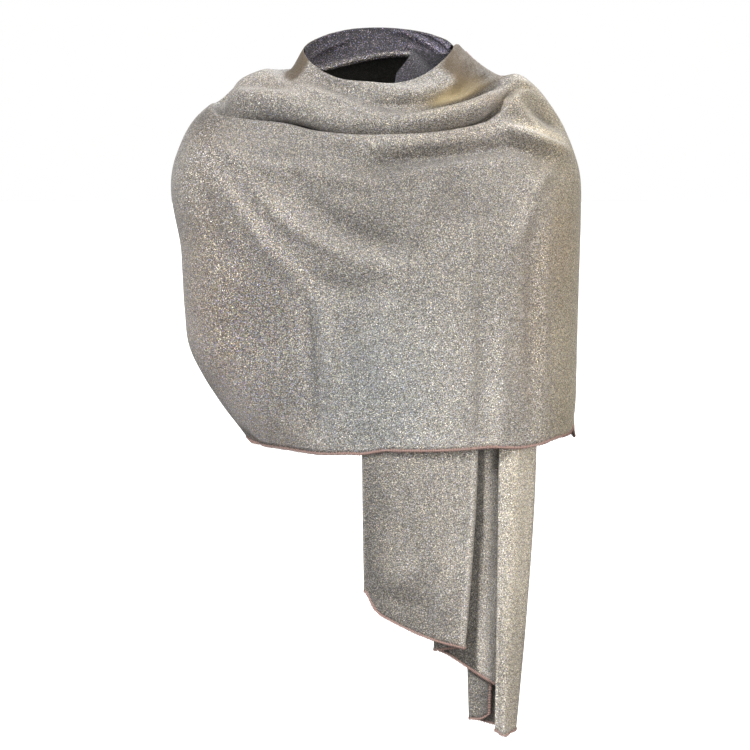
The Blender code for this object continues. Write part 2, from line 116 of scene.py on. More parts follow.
# Folds of the front, as seen from the front: a bent line, its half width and its height
FRONT_FOLDS = (
    ("roll on the right shoulder", -0.175, -0.013, -0.124, -0.011, -0.060, -0.024, 0.008, 0.006),
    ("hollow over that roll", -0.152, -0.001, -0.116, 0.002, -0.082, -0.004, 0.008, -0.005),
    ("second crest under the collar", -0.096, 0.000, -0.045, -0.016, 0.005, -0.034, 0.008, 0.008),
    ("hollow by the collar", -0.074, 0.014, -0.044, 0.001, -0.005, -0.014, 0.008, -0.008),
    ("rim of the collar", -0.049, 0.014, 0.027, -0.008, 0.070, 0.004, 0.007, 0.006),
    ("hollow under the collar's rim", -0.010, -0.020, 0.030, -0.021, 0.068, -0.010, 0.006, -0.005),
    ("crease from the left shoulder", 0.156, 0.012, 0.108, -0.0135, 0.035, -0.029, 0.0040, -0.011),
    ("crest of the upper roll", 0.166, 0.003, 0.114, -0.0225, 0.030, -0.039, 0.0055, 0.008),
    ("upper crease from the left shoulder", 0.118, 0.004, 0.085, -0.008, 0.050, -0.020, 0.005, -0.007),
    ("groove into the left shoulder", 0.158, 0.000, 0.138, -0.016, 0.120, -0.038, 0.0050, -0.009),
    ("knuckle", 0.130, -0.034, 0.143, -0.022, 0.152, -0.030, 0.006, 0.007),
    ("ridge down the left shoulder", 0.147, -0.016, 0.156, -0.032, 0.168, -0.046, 0.006, 0.008),
    ("ridge to the left arm", 0.134, -0.043, 0.163, -0.057, 0.206, -0.072, 0.006, 0.012),
    ("hollow under that ridge", 0.150, -0.062, 0.176, -0.076, 0.200, -0.090, 0.008, -0.009),
    ("hollow in the left shoulder", 0.172, -0.024, 0.190, -0.034, 0.212, -0.048, 0.009, -0.009),
    ("crest under the tuck", -0.059, -0.059, 0.022, -0.063, 0.123, -0.055, 0.009, 0.005),
    ("trough below it", 0.000, -0.086, 0.081, -0.073, 0.162, -0.066, 0.010, -0.012),
    ("crest below the trough", 0.027, -0.095, 0.086, -0.082, 0.158, -0.078, 0.008, 0.004),
    ("edge at the left arm", 0.202, -0.081, 0.186, -0.096, 0.173, -0.113, 0.006, 0.004),
    ("fall from the left arm", 0.173, -0.102, 0.169, -0.134, 0.148, -0.172, 0.009, 0.005),
    ("arc on the right breast", -0.176, -0.059, -0.135, -0.085, -0.081, -0.087, 0.007, 0.0035),
    ("arc runs on", -0.081, -0.087, -0.038, -0.099, 0.011, -0.108, 0.007, 0.003),
    ("first drag", -0.166, -0.107, -0.122, -0.166, -0.115, -0.182, 0.009, 0.006),
    ("first drag runs on", -0.108, -0.185, -0.081, -0.208, -0.068, -0.251, 0.008, 0.004),
    ("second drag", -0.132, -0.102, -0.086, -0.152, 0.010, -0.192, 0.009, 0.006),
    ("hollow over the second drag", -0.085, -0.108, -0.034, -0.156, 0.040, -0.176, 0.016, -0.008),
    ("hollow under the second drag", -0.074, -0.203, -0.040, -0.216, 0.016, -0.221, 0.010, -0.004),
    ("crease in the satin", 0.0957, 0.031, 0.089, 0.010, 0.078, -0.010, 0.0035, 0.003),
    ("hollow in the satin", 0.108, 0.022, 0.101, 0.006, 0.092, -0.008, 0.0035, -0.003),
    ("second crease in the satin", 0.121, 0.014, 0.113, 0.003, 0.105, -0.006, 0.0035, 0.003),
    ("long hollow", -0.077, -0.220, -0.066, -0.284, -0.062, -0.385, 0.008, -0.006),
    ("ridge by the long hollow", -0.057, -0.230, -0.051, -0.284, -0.043, -0.385, 0.010, 0.004),
    ("flat below", -0.038, -0.240, -0.027, -0.284, -0.025, -0.339, 0.014, -0.003),
    ("edge over the pleats", 0.070, -0.091, 0.054, -0.128, 0.027, -0.197, 0.008, 0.004),
    ("edge over the pleats runs on", 0.025, -0.203, 0.011, -0.273, 0.008, -0.339, 0.009, 0.004),
    ("fall on the chest", 0.100, -0.080, 0.104, -0.144, 0.107, -0.230, 0.006, 0.0035),
    ("hollow by that fall", 0.086, -0.091, 0.094, -0.123, 0.094, -0.149, 0.009, -0.004),
    ("dark line", 0.115, -0.231, 0.115, -0.285, 0.115, -0.392, 0.005, -0.0045),
    ("fall by the dark line", 0.136, -0.264, 0.139, -0.319, 0.140, -0.399, 0.008, 0.004),
    ("hollow by the left side", 0.169, -0.124, 0.171, -0.232, 0.169, -0.397, 0.008, -0.004),
    ("left side", 0.184, -0.124, 0.184, -0.233, 0.183, -0.392, 0.006, 0.003),
    ("upper slit at the right corner", -0.149, -0.389, -0.140, -0.393, -0.130, -0.397, 0.0022, -0.006),
    ("lower slit at the right corner", -0.150, -0.396, -0.148, -0.399, -0.144, -0.401, 0.0020, -0.005),
    ("right side hollow", -0.194, -0.102, -0.175, -0.156, -0.156, -0.191, 0.012, -0.005),
)

# Folds that hang down the back and the outer end: angle at the shoulder and at the hem
BACK_FOLDS = (
    ("behind the right arm", 242.0, 238.0, 7.0, 0.001, 0.006),
    ("right shoulder blade", 222.0, 219.0, 8.0, -0.001, -0.006),
    ("right of the spine", 201.0, 203.0, 8.0, 0.001, 0.006),
    ("spine", 184.0, 186.0, 8.0, -0.001, -0.006),
    ("left of the spine", 166.0, 168.0, 7.0, 0.001, 0.004),
)
END_FOLDS = (
    ("behind the left arm", 112.0, 106.0, 4.0, 0.001, 0.006),
    ("first flute", 122.0, 117.0, 4.0, 0.0, -0.002),
    ("second flute", 132.0, 127.0, 4.5, 0.003, 0.008),
    ("third flute", 142.0, 137.0, 4.0, 0.0, -0.002),
    ("free edge", 154.0, 148.0, 5.0, 0.003, 0.008),
)
# Creases of the back, as seen on it
BACK_CREASES = (
    ("sag between the shoulders", -0.130, -0.020, -0.030, -0.055, 0.070, -0.045, 0.010, 0.006),
    ("hollow under the sag", -0.135, -0.045, -0.035, -0.080, 0.065, -0.070, 0.011, -0.007),
    ("second sag", -0.165, -0.075, -0.045, -0.122, 0.060, -0.100, 0.012, 0.006),
    ("hollow under the second sag", -0.150, -0.110, -0.050, -0.152, 0.040, -0.135, 0.013, -0.006),
    ("drag to the right arm", -0.196, -0.120, -0.150, -0.180, -0.110, -0.250, 0.011, 0.005),
    ("hollow by that drag", -0.170, -0.120, -0.125, -0.180, -0.085, -0.240, 0.011, -0.005),
    ("fall on the back", 0.010, -0.190, 0.020, -0.260, 0.015, -0.370, 0.010, 0.005),
    ("hollow by the fall", -0.020, -0.200, -0.015, -0.270, -0.015, -0.380, 0.010, -0.005),
    ("collar's crease at the back", -0.080, 0.022, -0.010, 0.012, 0.070, 0.016, 0.008, -0.004),
)
# Angles over which the back's unevenness and its creases fade in and out
BACK_UNEVEN = (100.0, 112.0, 248.0, 260.0)
BACK_CREASED = (158.0, 172.0, 240.0, 262.0)
# The outer end: its free edge at the shoulder and at the hem, how low its top ends, and how far it hangs
END_TOP_ANGLE = 160.0
END_HEM_ANGLE = 152.0
END_LOW_RING, END_TOP_BOW = 3.9, 0.6
END_DROP = 0.022
# The front's top edge lies a little lower just before it
FRONT_TOP_FROM, FRONT_TOP_DROP = 440.0, 0.25

# The first stretch, inside the front: where it starts, the rings of its top and its low edge
UNDER_STARTS = 20.0
UNDER_TOP_RINGS = (1.25, 0.25)
UNDER_LOW_RING = 6.5
UNDER_LOW_TURNS = (84.0, 97.0)
RIM_TURNS = (110.0, 94.0)
UNDER_SHRINK = 0.14
UNDER_SINK = 0.008
# How far the first edge leans across the neck, and how high and how far in the collar's inner turn stands
UNDER_LEAN, UNDER_LEAN_TO, UNDER_LEAN_BOW = 15.0, 60.0, 1.5
UNDER_RISE, UNDER_WAVE, UNDER_WAVES = 0.046, 0.25, 3.0
UNDER_INSIDE = 0.40
UNDER_ANGLES = (94.0, 72.0)
INNER_TURN_ANGLES = (2.0, 22.0, 62.0, 96.0)
INNER_TURN_RINGS = (2.6, 0.6)

# The edge turned in at the nape: how far round, how deep and how far in it reaches
NAPE_ANGLES = (91.5, 268.0)
NAPE_DEPTH, NAPE_ROLL_DEPTH, NAPE_END_DEPTH = 0.036, 0.003, 0.45
NAPE_SAG, NAPE_SINK = -0.005, 0.0006
NAPE_TOP_INSET, NAPE_MIDDLE_INSET, NAPE_FALL_INSET, NAPE_LOW_INSET = 0.0011, 0.0010, 0.0022, 0.014
# The share of its height above its soft roll, and the roll
NAPE_ABOVE_ROLL = 0.8
NAPE_ROLL, NAPE_LEAST_ROLL, NAPE_CURL = 0.0032, 0.0006, 1.25 * math.pi
# Its hollow over the right shoulder: places along and down, half widths, depth and slant
NAPE_HOLLOW, NAPE_HOLLOW_SLANT = (0.72, 0.62, 0.11, 0.20, 0.0052), 0.5
# The crest above it: its height, where it fades in and out, and its middle, slant and half width
NAPE_CREST, NAPE_CREST_ENDS = 0.0022, (0.52, 0.66, 0.88, 0.98)
NAPE_CREST_ALONG, NAPE_CREST_DOWN, NAPE_CREST_SLANT, NAPE_CREST_HALF = 0.6, 0.22, 0.6, 0.07
# Gathers by the left shoulder: place down the fold, how much they slant, half width and height
NAPE_GATHERS = ((0.04, 1.1, 0.07, 0.0020), (0.22, 1.3, 0.06, -0.0022), (0.40, 1.4, 0.07, 0.0026),
                (0.62, 1.5, 0.06, -0.0022), (0.84, 1.6, 0.08, 0.0024))
GATHERS_START = 0.16

# The pleated end, fold by fold along its way
PLEAT_COLUMNS = ("fold", "x_high", "x_low", "hem_z", "comes", "leaves", "swell", "hem_swell")
PLEATS = (
    ("hidden edge", 0.0520, 0.0470, -0.584, 0.0076, 0.0076, 0.0000, 0.000),
    ("left fold", -0.0140, -0.0120, -0.554, 0.0068, 0.0022, 0.0000, 0.0035),
    ("rounded corner", 0.0060, 0.0060, -0.579, 0.0022, 0.0022, 0.0000, 0.0040),
    ("right fold", 0.1130, 0.1000, -0.618, 0.0022, 0.0070, 0.0000, 0.000),
    ("second left fold", 0.0680, 0.0655, -0.622, 0.0130, 0.0176, 0.0000, 0.000),
    ("under the first panel", 0.0860, 0.0820, -0.629, 0.0174, 0.0174, 0.0000, 0.000),
    ("turn behind the roll", 0.1530, 0.1470, -0.674, 0.0170, 0.0124, 0.0000, 0.000),
    ("roll starts", 0.1370, 0.1350, -0.718, 0.0112, 0.0066, 0.0060, 0.0030),
    ("roll edge", 0.1810, 0.1600, -0.7215, 0.0066, 0.0215, 0.0000, 0.000),
    ("last left fold", 0.0990, 0.1060, -0.706, 0.0262, 0.0218, 0.0000, 0.003),
    ("free edge", 0.1330, 0.1290, -0.702, 0.0202, 0.0202, 0.0000, 0.000),
)
# Dents and ridges of the panels that show, as seen from the front
PLEAT_FOLDS = (
    ("ridge down the first panel", 0.070, -0.470, 0.071, -0.530, 0.070, -0.605, 0.008, 0.0022),
    ("hollow beside it", 0.056, -0.520, 0.057, -0.560, 0.060, -0.600, 0.009, -0.0022),
    ("dent above the corner", 0.000, -0.560, 0.030, -0.566, 0.062, -0.580, 0.011, -0.0035),
    ("swell above the dent", 0.004, -0.520, 0.030, -0.535, 0.055, -0.520, 0.014, 0.0030),
    ("drag from the front's hem", 0.012, -0.420, 0.032, -0.450, 0.038, -0.500, 0.010, -0.0020),
    ("turned edge", 0.106, -0.420, 0.103, -0.520, 0.099, -0.618, 0.005, 0.0030),
    ("left edge", -0.009, -0.420, -0.010, -0.500, -0.009, -0.560, 0.005, -0.0015),
)
# The solids stand so far apart; the folded cloth keeps to that
SOLID_GAP = 0.0003
# How far apart the points are across a panel, and how many each bend has
PLEAT_STEP, BEND_POINTS = 0.0032, 9
PLEAT_ROWS = 120
# The narrowing of the panels shows most near their hem
PLEAT_LEAN = 1.5
PLEAT_TOP_X = (0.040, 0.155)
PLEAT_TOP_Z = -0.102
PLEAT_CLEAR_Z = (-0.120, -0.165)
PLEAT_CLEARANCE = 0.0135
FRONT_HEM_Z = -0.400
MOST_SLOPE = 1.8
# The last of the panels whose dents show, and how far behind the front they may lie
LAST_DENTED = 3
DENTED_BEHIND = (0.0062, 0.0030)
PANEL_WAVE = 0.0012

# Painted light and shade on the front, mostly of its folds and partly of the dark that lies under the fine
# mesh:
# the middle of each place, how far it reaches and how much it changes
FRONT_PAINTED_LIGHT = (
    ("under the chest's trough", 0.005, -0.102, 0.080, 0.034, -0.20),
    ("shade of the second drag", -0.005, -0.148, 0.045, 0.030, -0.20),
    ("shade by the pleats", 0.075, -0.112, 0.040, 0.050, -0.17),
    ("shade under the second drag", -0.025, -0.208, 0.045, 0.020, -0.16),
    ("trough at the left shoulder", 0.128, -0.061, 0.016, 0.012, -0.16),
    ("satin by the left shoulder", 0.126, 0.016, 0.014, 0.009, -0.58),
    ("gold along the crease", 0.068, -0.007, 0.032, 0.010, 0.34),
    ("satin over the gold", 0.094, 0.009, 0.012, 0.007, 0.42),
    ("front of the left arm", 0.163, -0.066, 0.020, 0.010, 0.14),
    ("hem over the pleats", 0.000, -0.393, 0.022, 0.010, 0.16),
    ("over the folded end", 0.070, -0.300, 0.050, 0.090, 0.20),
    ("lower right corner", -0.158, -0.350, 0.036, 0.044, 0.58),
    ("hem on the right side", -0.090, -0.385, 0.080, 0.030, 0.22),
    ("hem on the left side", 0.080, -0.392, 0.080, 0.022, 0.20),
    ("by the dark line", 0.130, -0.375, 0.010, 0.080, 0.46),
    ("right shoulder", -0.150, -0.030, 0.070, 0.030, -0.16),
    ("right breast", -0.115, -0.080, 0.080, 0.030, -0.20),
    ("upper chest", 0.000, -0.010, 0.120, 0.022, -0.10),
    ("left edge", 0.196, -0.260, 0.022, 0.120, 0.02),
    ("light on the left arm", 0.176, -0.046, 0.035, 0.014, 0.22),
    ("top of the left shoulder", 0.128, -0.006, 0.016, 0.012, -0.22),
    ("under the tuck", -0.040, -0.064, 0.034, 0.014, -0.16),
    ("over the right arc", 0.008, -0.090, 0.034, 0.016, -0.22),
    ("front of the right shoulder", -0.188, -0.038, 0.028, 0.020, -0.38),
    ("right side", -0.135, -0.250, 0.055, 0.060, -0.22),
    ("beside the right fall", -0.102, -0.245, 0.020, 0.034, -0.09),
    ("right fall", -0.078, -0.235, 0.012, 0.045, 0.14),
    ("under the first drag", -0.046, -0.135, 0.020, 0.014, 0.12),
    ("fall from the left arm", 0.155, -0.140, 0.012, 0.034, 0.16),
    ("left shoulder", 0.176, -0.010, 0.022, 0.014, -0.14),
)
# Its light from the top to the bottom, and the heights between which it changes
LIGHT_ABOVE, LIGHT_GAIN, LIGHT_HEIGHTS = 0.94, 0.10, (-0.10, -0.30)
# Crests that catch the light and creases that lose it, as bent lines seen from the front
GLINTS = (
    ("rim of the knuckle", 0.131, -0.030, 0.143, -0.015, 0.163, -0.020, 0.0028, 0.38),
    ("ridge to the left arm", 0.136, -0.0435, 0.174, -0.0465, 0.215, -0.060, 0.0030, 0.60),
    ("down from the knuckle", 0.164, -0.021, 0.172, -0.032, 0.180, -0.046, 0.0026, 0.32),
    ("rim of the left shoulder", 0.150, 0.013, 0.173, 0.007, 0.191, -0.012, 0.0028, 0.35),
    ("shade over the ridge", 0.172, -0.029, 0.190, -0.038, 0.206, -0.049, 0.0055, -0.42),
    ("shade in the knuckle", 0.140, -0.030, 0.150, -0.029, 0.162, -0.034, 0.0040, -0.28),
    ("crest under the tuck", -0.040, -0.056, 0.040, -0.058, 0.125, -0.042, 0.0040, 0.20),
    ("line along the crease", 0.049, -0.0295, 0.107, -0.0190, 0.152, 0.0060, 0.0028, 0.20),
    ("shade of the crease", 0.048, -0.0250, 0.106, -0.0130, 0.147, 0.0110, 0.0026, -0.50),
    ("shade of the groove", 0.124, -0.032, 0.137, -0.018, 0.157, 0.000, 0.0028, -0.45),
    ("arc on the right breast", -0.176, -0.059, -0.120, -0.080, 0.011, -0.106, 0.0035, 0.14),
    ("edge of the right fall", -0.075, -0.215, -0.066, -0.284, -0.066, -0.385, 0.0022, -0.22),
    ("light by the right fall", -0.060, -0.225, -0.056, -0.284, -0.054, -0.385, 0.0060, 0.12),
)
# The shade in the slit on the right: how dark, how wide in rings, and the angles where it ends
TUCK_SHADE, TUCK_SHADE_HALF, TUCK_SHADE_ANGLES = -0.42, 0.30, (-14.0, -34.0)
# How warm or cool its glitter looks, in the same columns: a plus is warmer
FRONT_HUES = (
    ("middle of the front", 0.000, -0.330, 0.085, 0.110, -0.95),
    ("right side", -0.190, -0.230, 0.045, 0.160, 0.85),
    ("right shoulder", -0.185, -0.045, 0.030, 0.022, 0.40),
    ("right corner of the hem", -0.092, -0.385, 0.045, 0.030, 0.70),
    ("left strip", 0.172, -0.250, 0.022, 0.110, 0.80),
    ("left arm", 0.205, -0.175, 0.020, 0.050, 0.80),
    ("right of the neck", -0.100, 0.003, 0.060, 0.020, 0.45),
    ("roll by the left shoulder", 0.100, -0.050, 0.045, 0.016, 0.45),
    ("roll under the satin", 0.125, -0.010, 0.025, 0.012, 0.90),
)
# Painted light and shade in the same columns, for the pleated end's foremost panel
PANEL_PAINTED_LIGHT = (
    ("left edge", -0.008, -0.500, 0.022, 0.110, -0.42),
    ("bottom", 0.020, -0.590, 0.060, 0.034, -0.44),
    ("right third", 0.086, -0.490, 0.022, 0.120, 0.24),
    ("under the front's hem", 0.060, -0.412, 0.040, 0.016, 0.20),
)
# Painted light and shade: how light each stretch between two folds is
PLEAT_PAINTED_LIGHT = (0.90, 0.92, 0.94, 0.80, 0.85, 1.45, 0.90, 1.70, 0.70, 0.72)
# The painted shadow beside the foremost panel: its right side, low and high, and the panels that it lies on
SHADE_X = (0.1150, 0.1225)
SHADE_Z = (-0.618, -0.400)
SHADE_CHANGE, SHADE_EDGE, SHADED_PANELS = -0.74, 0.0010, (4, 5)
# The painted highlight along the edge of the foremost panel, low and high, on the panel before its right fold
FOREMOST_PANELS = (1, 2)
EDGE_X, EDGE_Z = (0.0975, 0.1080), (-0.600, -0.440)
EDGE_LIGHT, EDGE_LIGHT_HALF = 0.5, 0.0028
# The roll grows darker towards its end
ROLL_PANEL, ROLL_FADE, ROLL_FADE_HEIGHTS = 7, -0.24, (-0.54, -0.63)
# Painted warm light on the roll, towards its right
PLEAT_WARM_LIGHT, PLEAT_WARM_LIGHT_X = 0.35, (0.12, 0.16)
# How much more light crests take than the cloth round them, for each metre they stand out, and its limits
CREST_LIGHT, CREST_LIMITS = 20.0, (0.70, 1.35)
# Painted highlight on the crests of the nape's gathers, for each metre of their height
NAPE_CREST_LIGHT = 240.0
# Painted light: the nape is lighter by the left shoulder; above its roll its painted shade is darker and
# bluer
NAPE_LIGHT, NAPE_LIGHT_PLACES = 1.3, (0.42, 0.12)
NAPE_ROLL_LESS_SHADE, NAPE_ROLL_PLACES = 0.30, (0.66, 0.82)

# The plain satin beside the neck: the crease below it, its side towards the neck, and where else it ends
SATIN_CREASE_X = (0.035, 0.070, 0.104, 0.131, 0.150)
SATIN_CREASE_Z = (-0.029, -0.024, -0.0135, 0.0015, 0.012)
SATIN_SIDE_Z = (-0.016, 0.005, 0.013, 0.021, 0.047)
SATIN_SIDE_X = (0.062, 0.089, 0.084, 0.074, 0.082)
SATIN_SIDE_FADE, SATIN_CREASE_FADE = (-0.010, 0.006), 0.003
SATIN_END_X, SATIN_END_ANGLES, SATIN_LOW_RING = (0.160, 0.148), (130.0, 104.0), 5.0
# A patch like it on the right of the collar
COLLAR_SATIN, COLLAR_RINGS, COLLAR_ANGLES = 0.95, (1.35, 1.05), (-120.0, -100.0, -68.0, -62.0)
# Painted warm light in gold: on the left side, and a painted highlight along the crease as place, half width
# and the same above it
SIDE_WARM_LIGHT, SIDE_WARM_LIGHT_ANGLES, SIDE_WARM_LIGHT_RINGS = 0.7, (42.0, 66.0, 80.0, 136.0), (2.0, 4.0)
CREASE_HIGHLIGHT_X, CREASE_HIGHLIGHT_Z = (0.082, 0.034), (0.007, 0.011)
# The painted shade, dark and blue, on the inner side of the first stretch ends here
COOL_SHADE_TURN = 84.0
# How lively the colours of the glitter are: everywhere, more on the lower right, at the nape, on the pleats
PLAY, MORE_PLAY, MORE_PLAY_X, MORE_PLAY_Z = 0.45, 0.5, (-0.150, 0.080), (-0.270, 0.150)
NAPE_PLAY, PLEAT_PLAY = 0.7, 0.42

# The light of each speck of glitter by chance, and its hue
SPECK_LEVELS = ((0.0, 0.30), (0.30, 0.58), (0.60, 0.92), (0.80, 1.35), (0.93, 2.10), (1.0, 3.0))
SPECK_HUES = (
    (0.00, (0.64, 0.62, 1.52, 1.0)),
    (0.20, (0.80, 0.92, 1.30, 1.0)),
    (0.38, (1.00, 1.00, 1.00, 1.0)),
    (0.62, (1.22, 1.08, 0.60, 1.0)),
    (0.80, (1.36, 0.84, 0.92, 1.0)),
    (1.00, (0.78, 1.20, 0.72, 1.0)),
)
# What the cloth's colour is multiplied by: where it has painted shade, dark and blue, where it has painted
# warm light in gold, or where it is a little cooler or warmer
COOL_SHADE_TINT = (0.090, 0.086, 0.124, 1.0)
WARM_LIGHT_TINT = (1.10, 1.00, 0.76, 1.0)
COOLER, WARMER = (0.925, 1.0, 1.075, 1.0), (1.075, 1.0, 0.925, 1.0)
# The satin's painted gold highlight, mixed in where the painted warm light lies
SATIN_GOLD_HIGHLIGHT = (0.40, 0.32, 0.18, 1.0)
# Specks above this chance are bare metal
METAL_CHANCE = 0.90
# How far each speck tilts, and how much of the specks' light the satin keeps
SPECK_TILT, SATIN_SPECKS = 0.85, 0.30
# The specks' contrast grows with the liveliness of their colours, by so much from so far down
CONTRAST_GAIN, CONTRAST_START = 0.6, 0.25
# Soft spots of the cloth: how fine they are, and how much lighter or darker
SPOTS = ((17.0, 0.05), (160.0, 0.03))
# The knit's columns and rows: their way, how uneven they are, and their share of the relief
KNIT_LINES = (("X", 1.2, 0.6), ("Y", 1.5, 0.4))
# The dull inner side: its darkest and lightest share of the cloth's colour
REVERSE_SHARES = (0.22, 0.75)
# The edge thread's darkest share of its colour
THREAD_DULL = 0.62

# The stage: the floor's half width, the height that the camera looks at, and the light of the surroundings
# from straight down to straight up
FLOOR_HALF = 40.0
MIDDLE_Z = -0.327
BACK_LIGHT_SHARE = 0.45
SKY_STOPS = ((0.0, 0.14), (0.42, 0.22), (0.47, 1.0), (0.54, 1.0), (0.62, 0.40), (1.0, 0.45))


def column(rows, names, name):
    """One named column of a table, as numbers."""
    return np.array([row[names.index(name)] for row in rows], float)


def ease(low, high, value):
    """0 at low, 1 at high, smooth between."""
    share = np.clip((value - low) / (high - low), 0.0, 1.0)
    return share * share * (3.0 - 2.0 * share)


def hump(middle, half_width, value):
    """1 at the middle, fading away on both sides."""
    return np.exp(-((value - middle) / half_width) ** 2)


def between(low, high, high_end, low_end, value):
    """1 between the two inner values, fading to 0 at the outer ones."""
    return ease(low, high, value) * ease(low_end, high_end, value)


def through(values, place):
    """A smooth curve through a column's values, read at a place counted in rows."""
    first = np.clip(np.floor(place).astype(int), 0, len(values) - 2)
    part = place - first
    ends = np.concatenate([[2 * values[0] - values[1]], values, [2 * values[-1] - values[-2]]])
    a, b, c, d = (ends[first + k] for k in range(4))
    return b + 0.5 * part * ((c - a) + part * ((2 * a - 5 * b + 4 * c - d) + part * (3 * (b - c) + d - a)))


RING = {name: column(RINGS, RING_COLUMNS, name) for name in RING_COLUMNS[1:]}
PLEAT = {name: column(PLEATS, PLEAT_COLUMNS, name) for name in PLEAT_COLUMNS[1:]}


def ring_point(angle, ring):
    """The smooth worn form: a point at an angle round a ring, before any fold."""
    now = {name: through(values, ring) for name, values in RING.items()}
    side, ahead = np.sin(np.radians(angle)), np.cos(np.radians(angle))
    power = 2.0 / now["square"]
    across = np.sign(side) * np.abs(side) ** power
    along = np.abs(ahead) ** power
    middle = (now["left_x"] + now["right_x"]) / 2
    half = (now["left_x"] - now["right_x"]) / 2
    left_share = (1 + across) / 2
    side_z = now["right_z"] * (1 - left_share) + now["left_z"] * left_share
    dip = np.abs(ahead) ** now["dip"]
    front = ahead > 0
    y = np.where(front, now["front_y"], now["back_y"]) * along
    z = side_z + (np.where(front, now["front_z"], now["back_z"]) - side_z) * dip
    return np.stack([middle + half * across, y, z], axis=-1)


def outward(surface, angle, ring):
    """Unit normals of a surface given as a function of angle and ring, pointing away from the body."""
    round_body = surface(angle + 0.25, ring) - surface(angle - 0.25, ring)
    lower = surface(angle, np.minimum(ring + 0.01, LAST_RING))
    down_body = lower - surface(angle, np.maximum(ring - 0.01, 0))
    normal = np.cross(down_body, round_body)
    return normal / np.linalg.norm(normal, axis=-1, keepdims=True)


def moved_out(angle, ring, distance):
    return ring_point(angle, ring) + outward(ring_point, angle, ring) * distance[..., None]


def fold_relief(folds, place):
    """How far folds given as bent lines lift or sink the cloth at places of two coordinates."""
    relief = np.zeros(place.shape[:-1])
    share = np.linspace(0.0, 1.0, 25)[:, None]
    for name, x1, z1, x2, z2, x3, z3, half_width, height in folds:
        start, middle, end = np.array([x1, z1]), np.array([x2, z2]), np.array([x3, z3])
        pull = 2 * middle - (start + end) / 2
        line = (1 - share) ** 2 * start + 2 * share * (1 - share) * pull + share ** 2 * end
        low, high = line.min(axis=0) - 3 * half_width, line.max(axis=0) + 3 * half_width
        near = ((place >= low) & (place <= high)).all(axis=-1)
        if not near.any():
            continue
        way = np.gradient(line, axis=0)
        length = np.linalg.norm(way, axis=-1)
        nearest = np.linalg.norm(place[near][:, None, :] - line, axis=-1).argmin(axis=-1)
        off = place[near] - line[nearest]
        along = (off * way[nearest]).sum(axis=-1) / length[nearest]
        limit = length[nearest] * 0.6
        reached = np.where(nearest == 0, np.maximum(along, 0.0), np.minimum(along, limit))
        reached = np.where(nearest == len(line) - 1, np.minimum(along, 0.0), np.maximum(reached, -limit))
        away = np.sqrt(np.maximum((off ** 2).sum(axis=-1) - reached * (2 * along - reached), 0.0))
        place_on = (nearest + reached / length[nearest]) / (len(line) - 1)
        taper = np.sin(np.pi * (0.10 + 0.80 * np.clip(place_on, 0.0, 1.0))) ** 0.8
        relief[near] += height * taper * hump(0.0, half_width, away)
    return relief


def tone_at(tones, place):
    """How light the cloth looks at places of two coordinates, 1 being even."""
    tone = np.ones(place.shape[:-1])
    for name, x, z, reach_x, reach_z, change in tones:
        tone *= 1 + change * hump(x, reach_x, place[..., 0]) * hump(z, reach_z, place[..., 1])
    return tone


def drop_relief(folds, angle, ring):
    """How far folds that hang from the shoulders lift or sink the cloth there."""
    down = ease(3.0, LAST_RING, ring)
    relief = np.zeros(np.broadcast(angle, ring).shape)
    for name, top_angle, hem_angle, half_width, height_top, height_hem in folds:
        middle = top_angle + (hem_angle - top_angle) * down
        relief += (height_top + (height_hem - height_top) * down) * hump(middle, half_width, angle)
    return relief * ease(2.0, 4.0, ring)


def slack(point):
    """The small unevenness of soft cloth, the same each time."""
    x, y, z = (point[..., k] * 1000 for k in range(3))
    long_waves = np.sin(x / 13 + 0.6 * np.sin(z / 31)) * np.sin(z / 47 + y / 29 + 1.1)
    short_waves = np.sin(x / 5.1 + z / 17 + 2.0) * np.sin(z / 9.7 - x / 14 + y / 11)
    return 0.0007 * long_waves + 0.0002 * short_waves


def outer_lift(angle):
    return LAYER_LIFT * ease(LIFT_ANGLES[0], LIFT_ANGLES[1], angle)


def front_relief(point, angle):
    ahead = np.cos(np.radians(angle))
    return fold_relief(FRONT_FOLDS, point[..., [0, 2]]) * ease(0.06, 0.30, ahead)


def tuck_line(angle):
    """How deep the tuck is at an angle, and the ring it runs along."""
    reach = np.clip(1 - ((angle - TUCK_MIDDLE) / TUCK_REACH) ** 2, 0.0, 1.0) ** 0.45
    return reach, TUCK_RING + sum(down * hump(middle, half, angle) for middle, half, down in TUCK_BENDS)


def shape_side_hem(point, angle, hem):
    """Lifts the hem at the left side, and draws its corner down and out."""
    tip = hump(*CORNER, angle) * hem
    point[..., 0] += CORNER_OUT * tip
    point[..., 2] += hem * SIDE_WAVE_LIFT * hump(*SIDE_WAVE, angle) - CORNER_DROP * tip


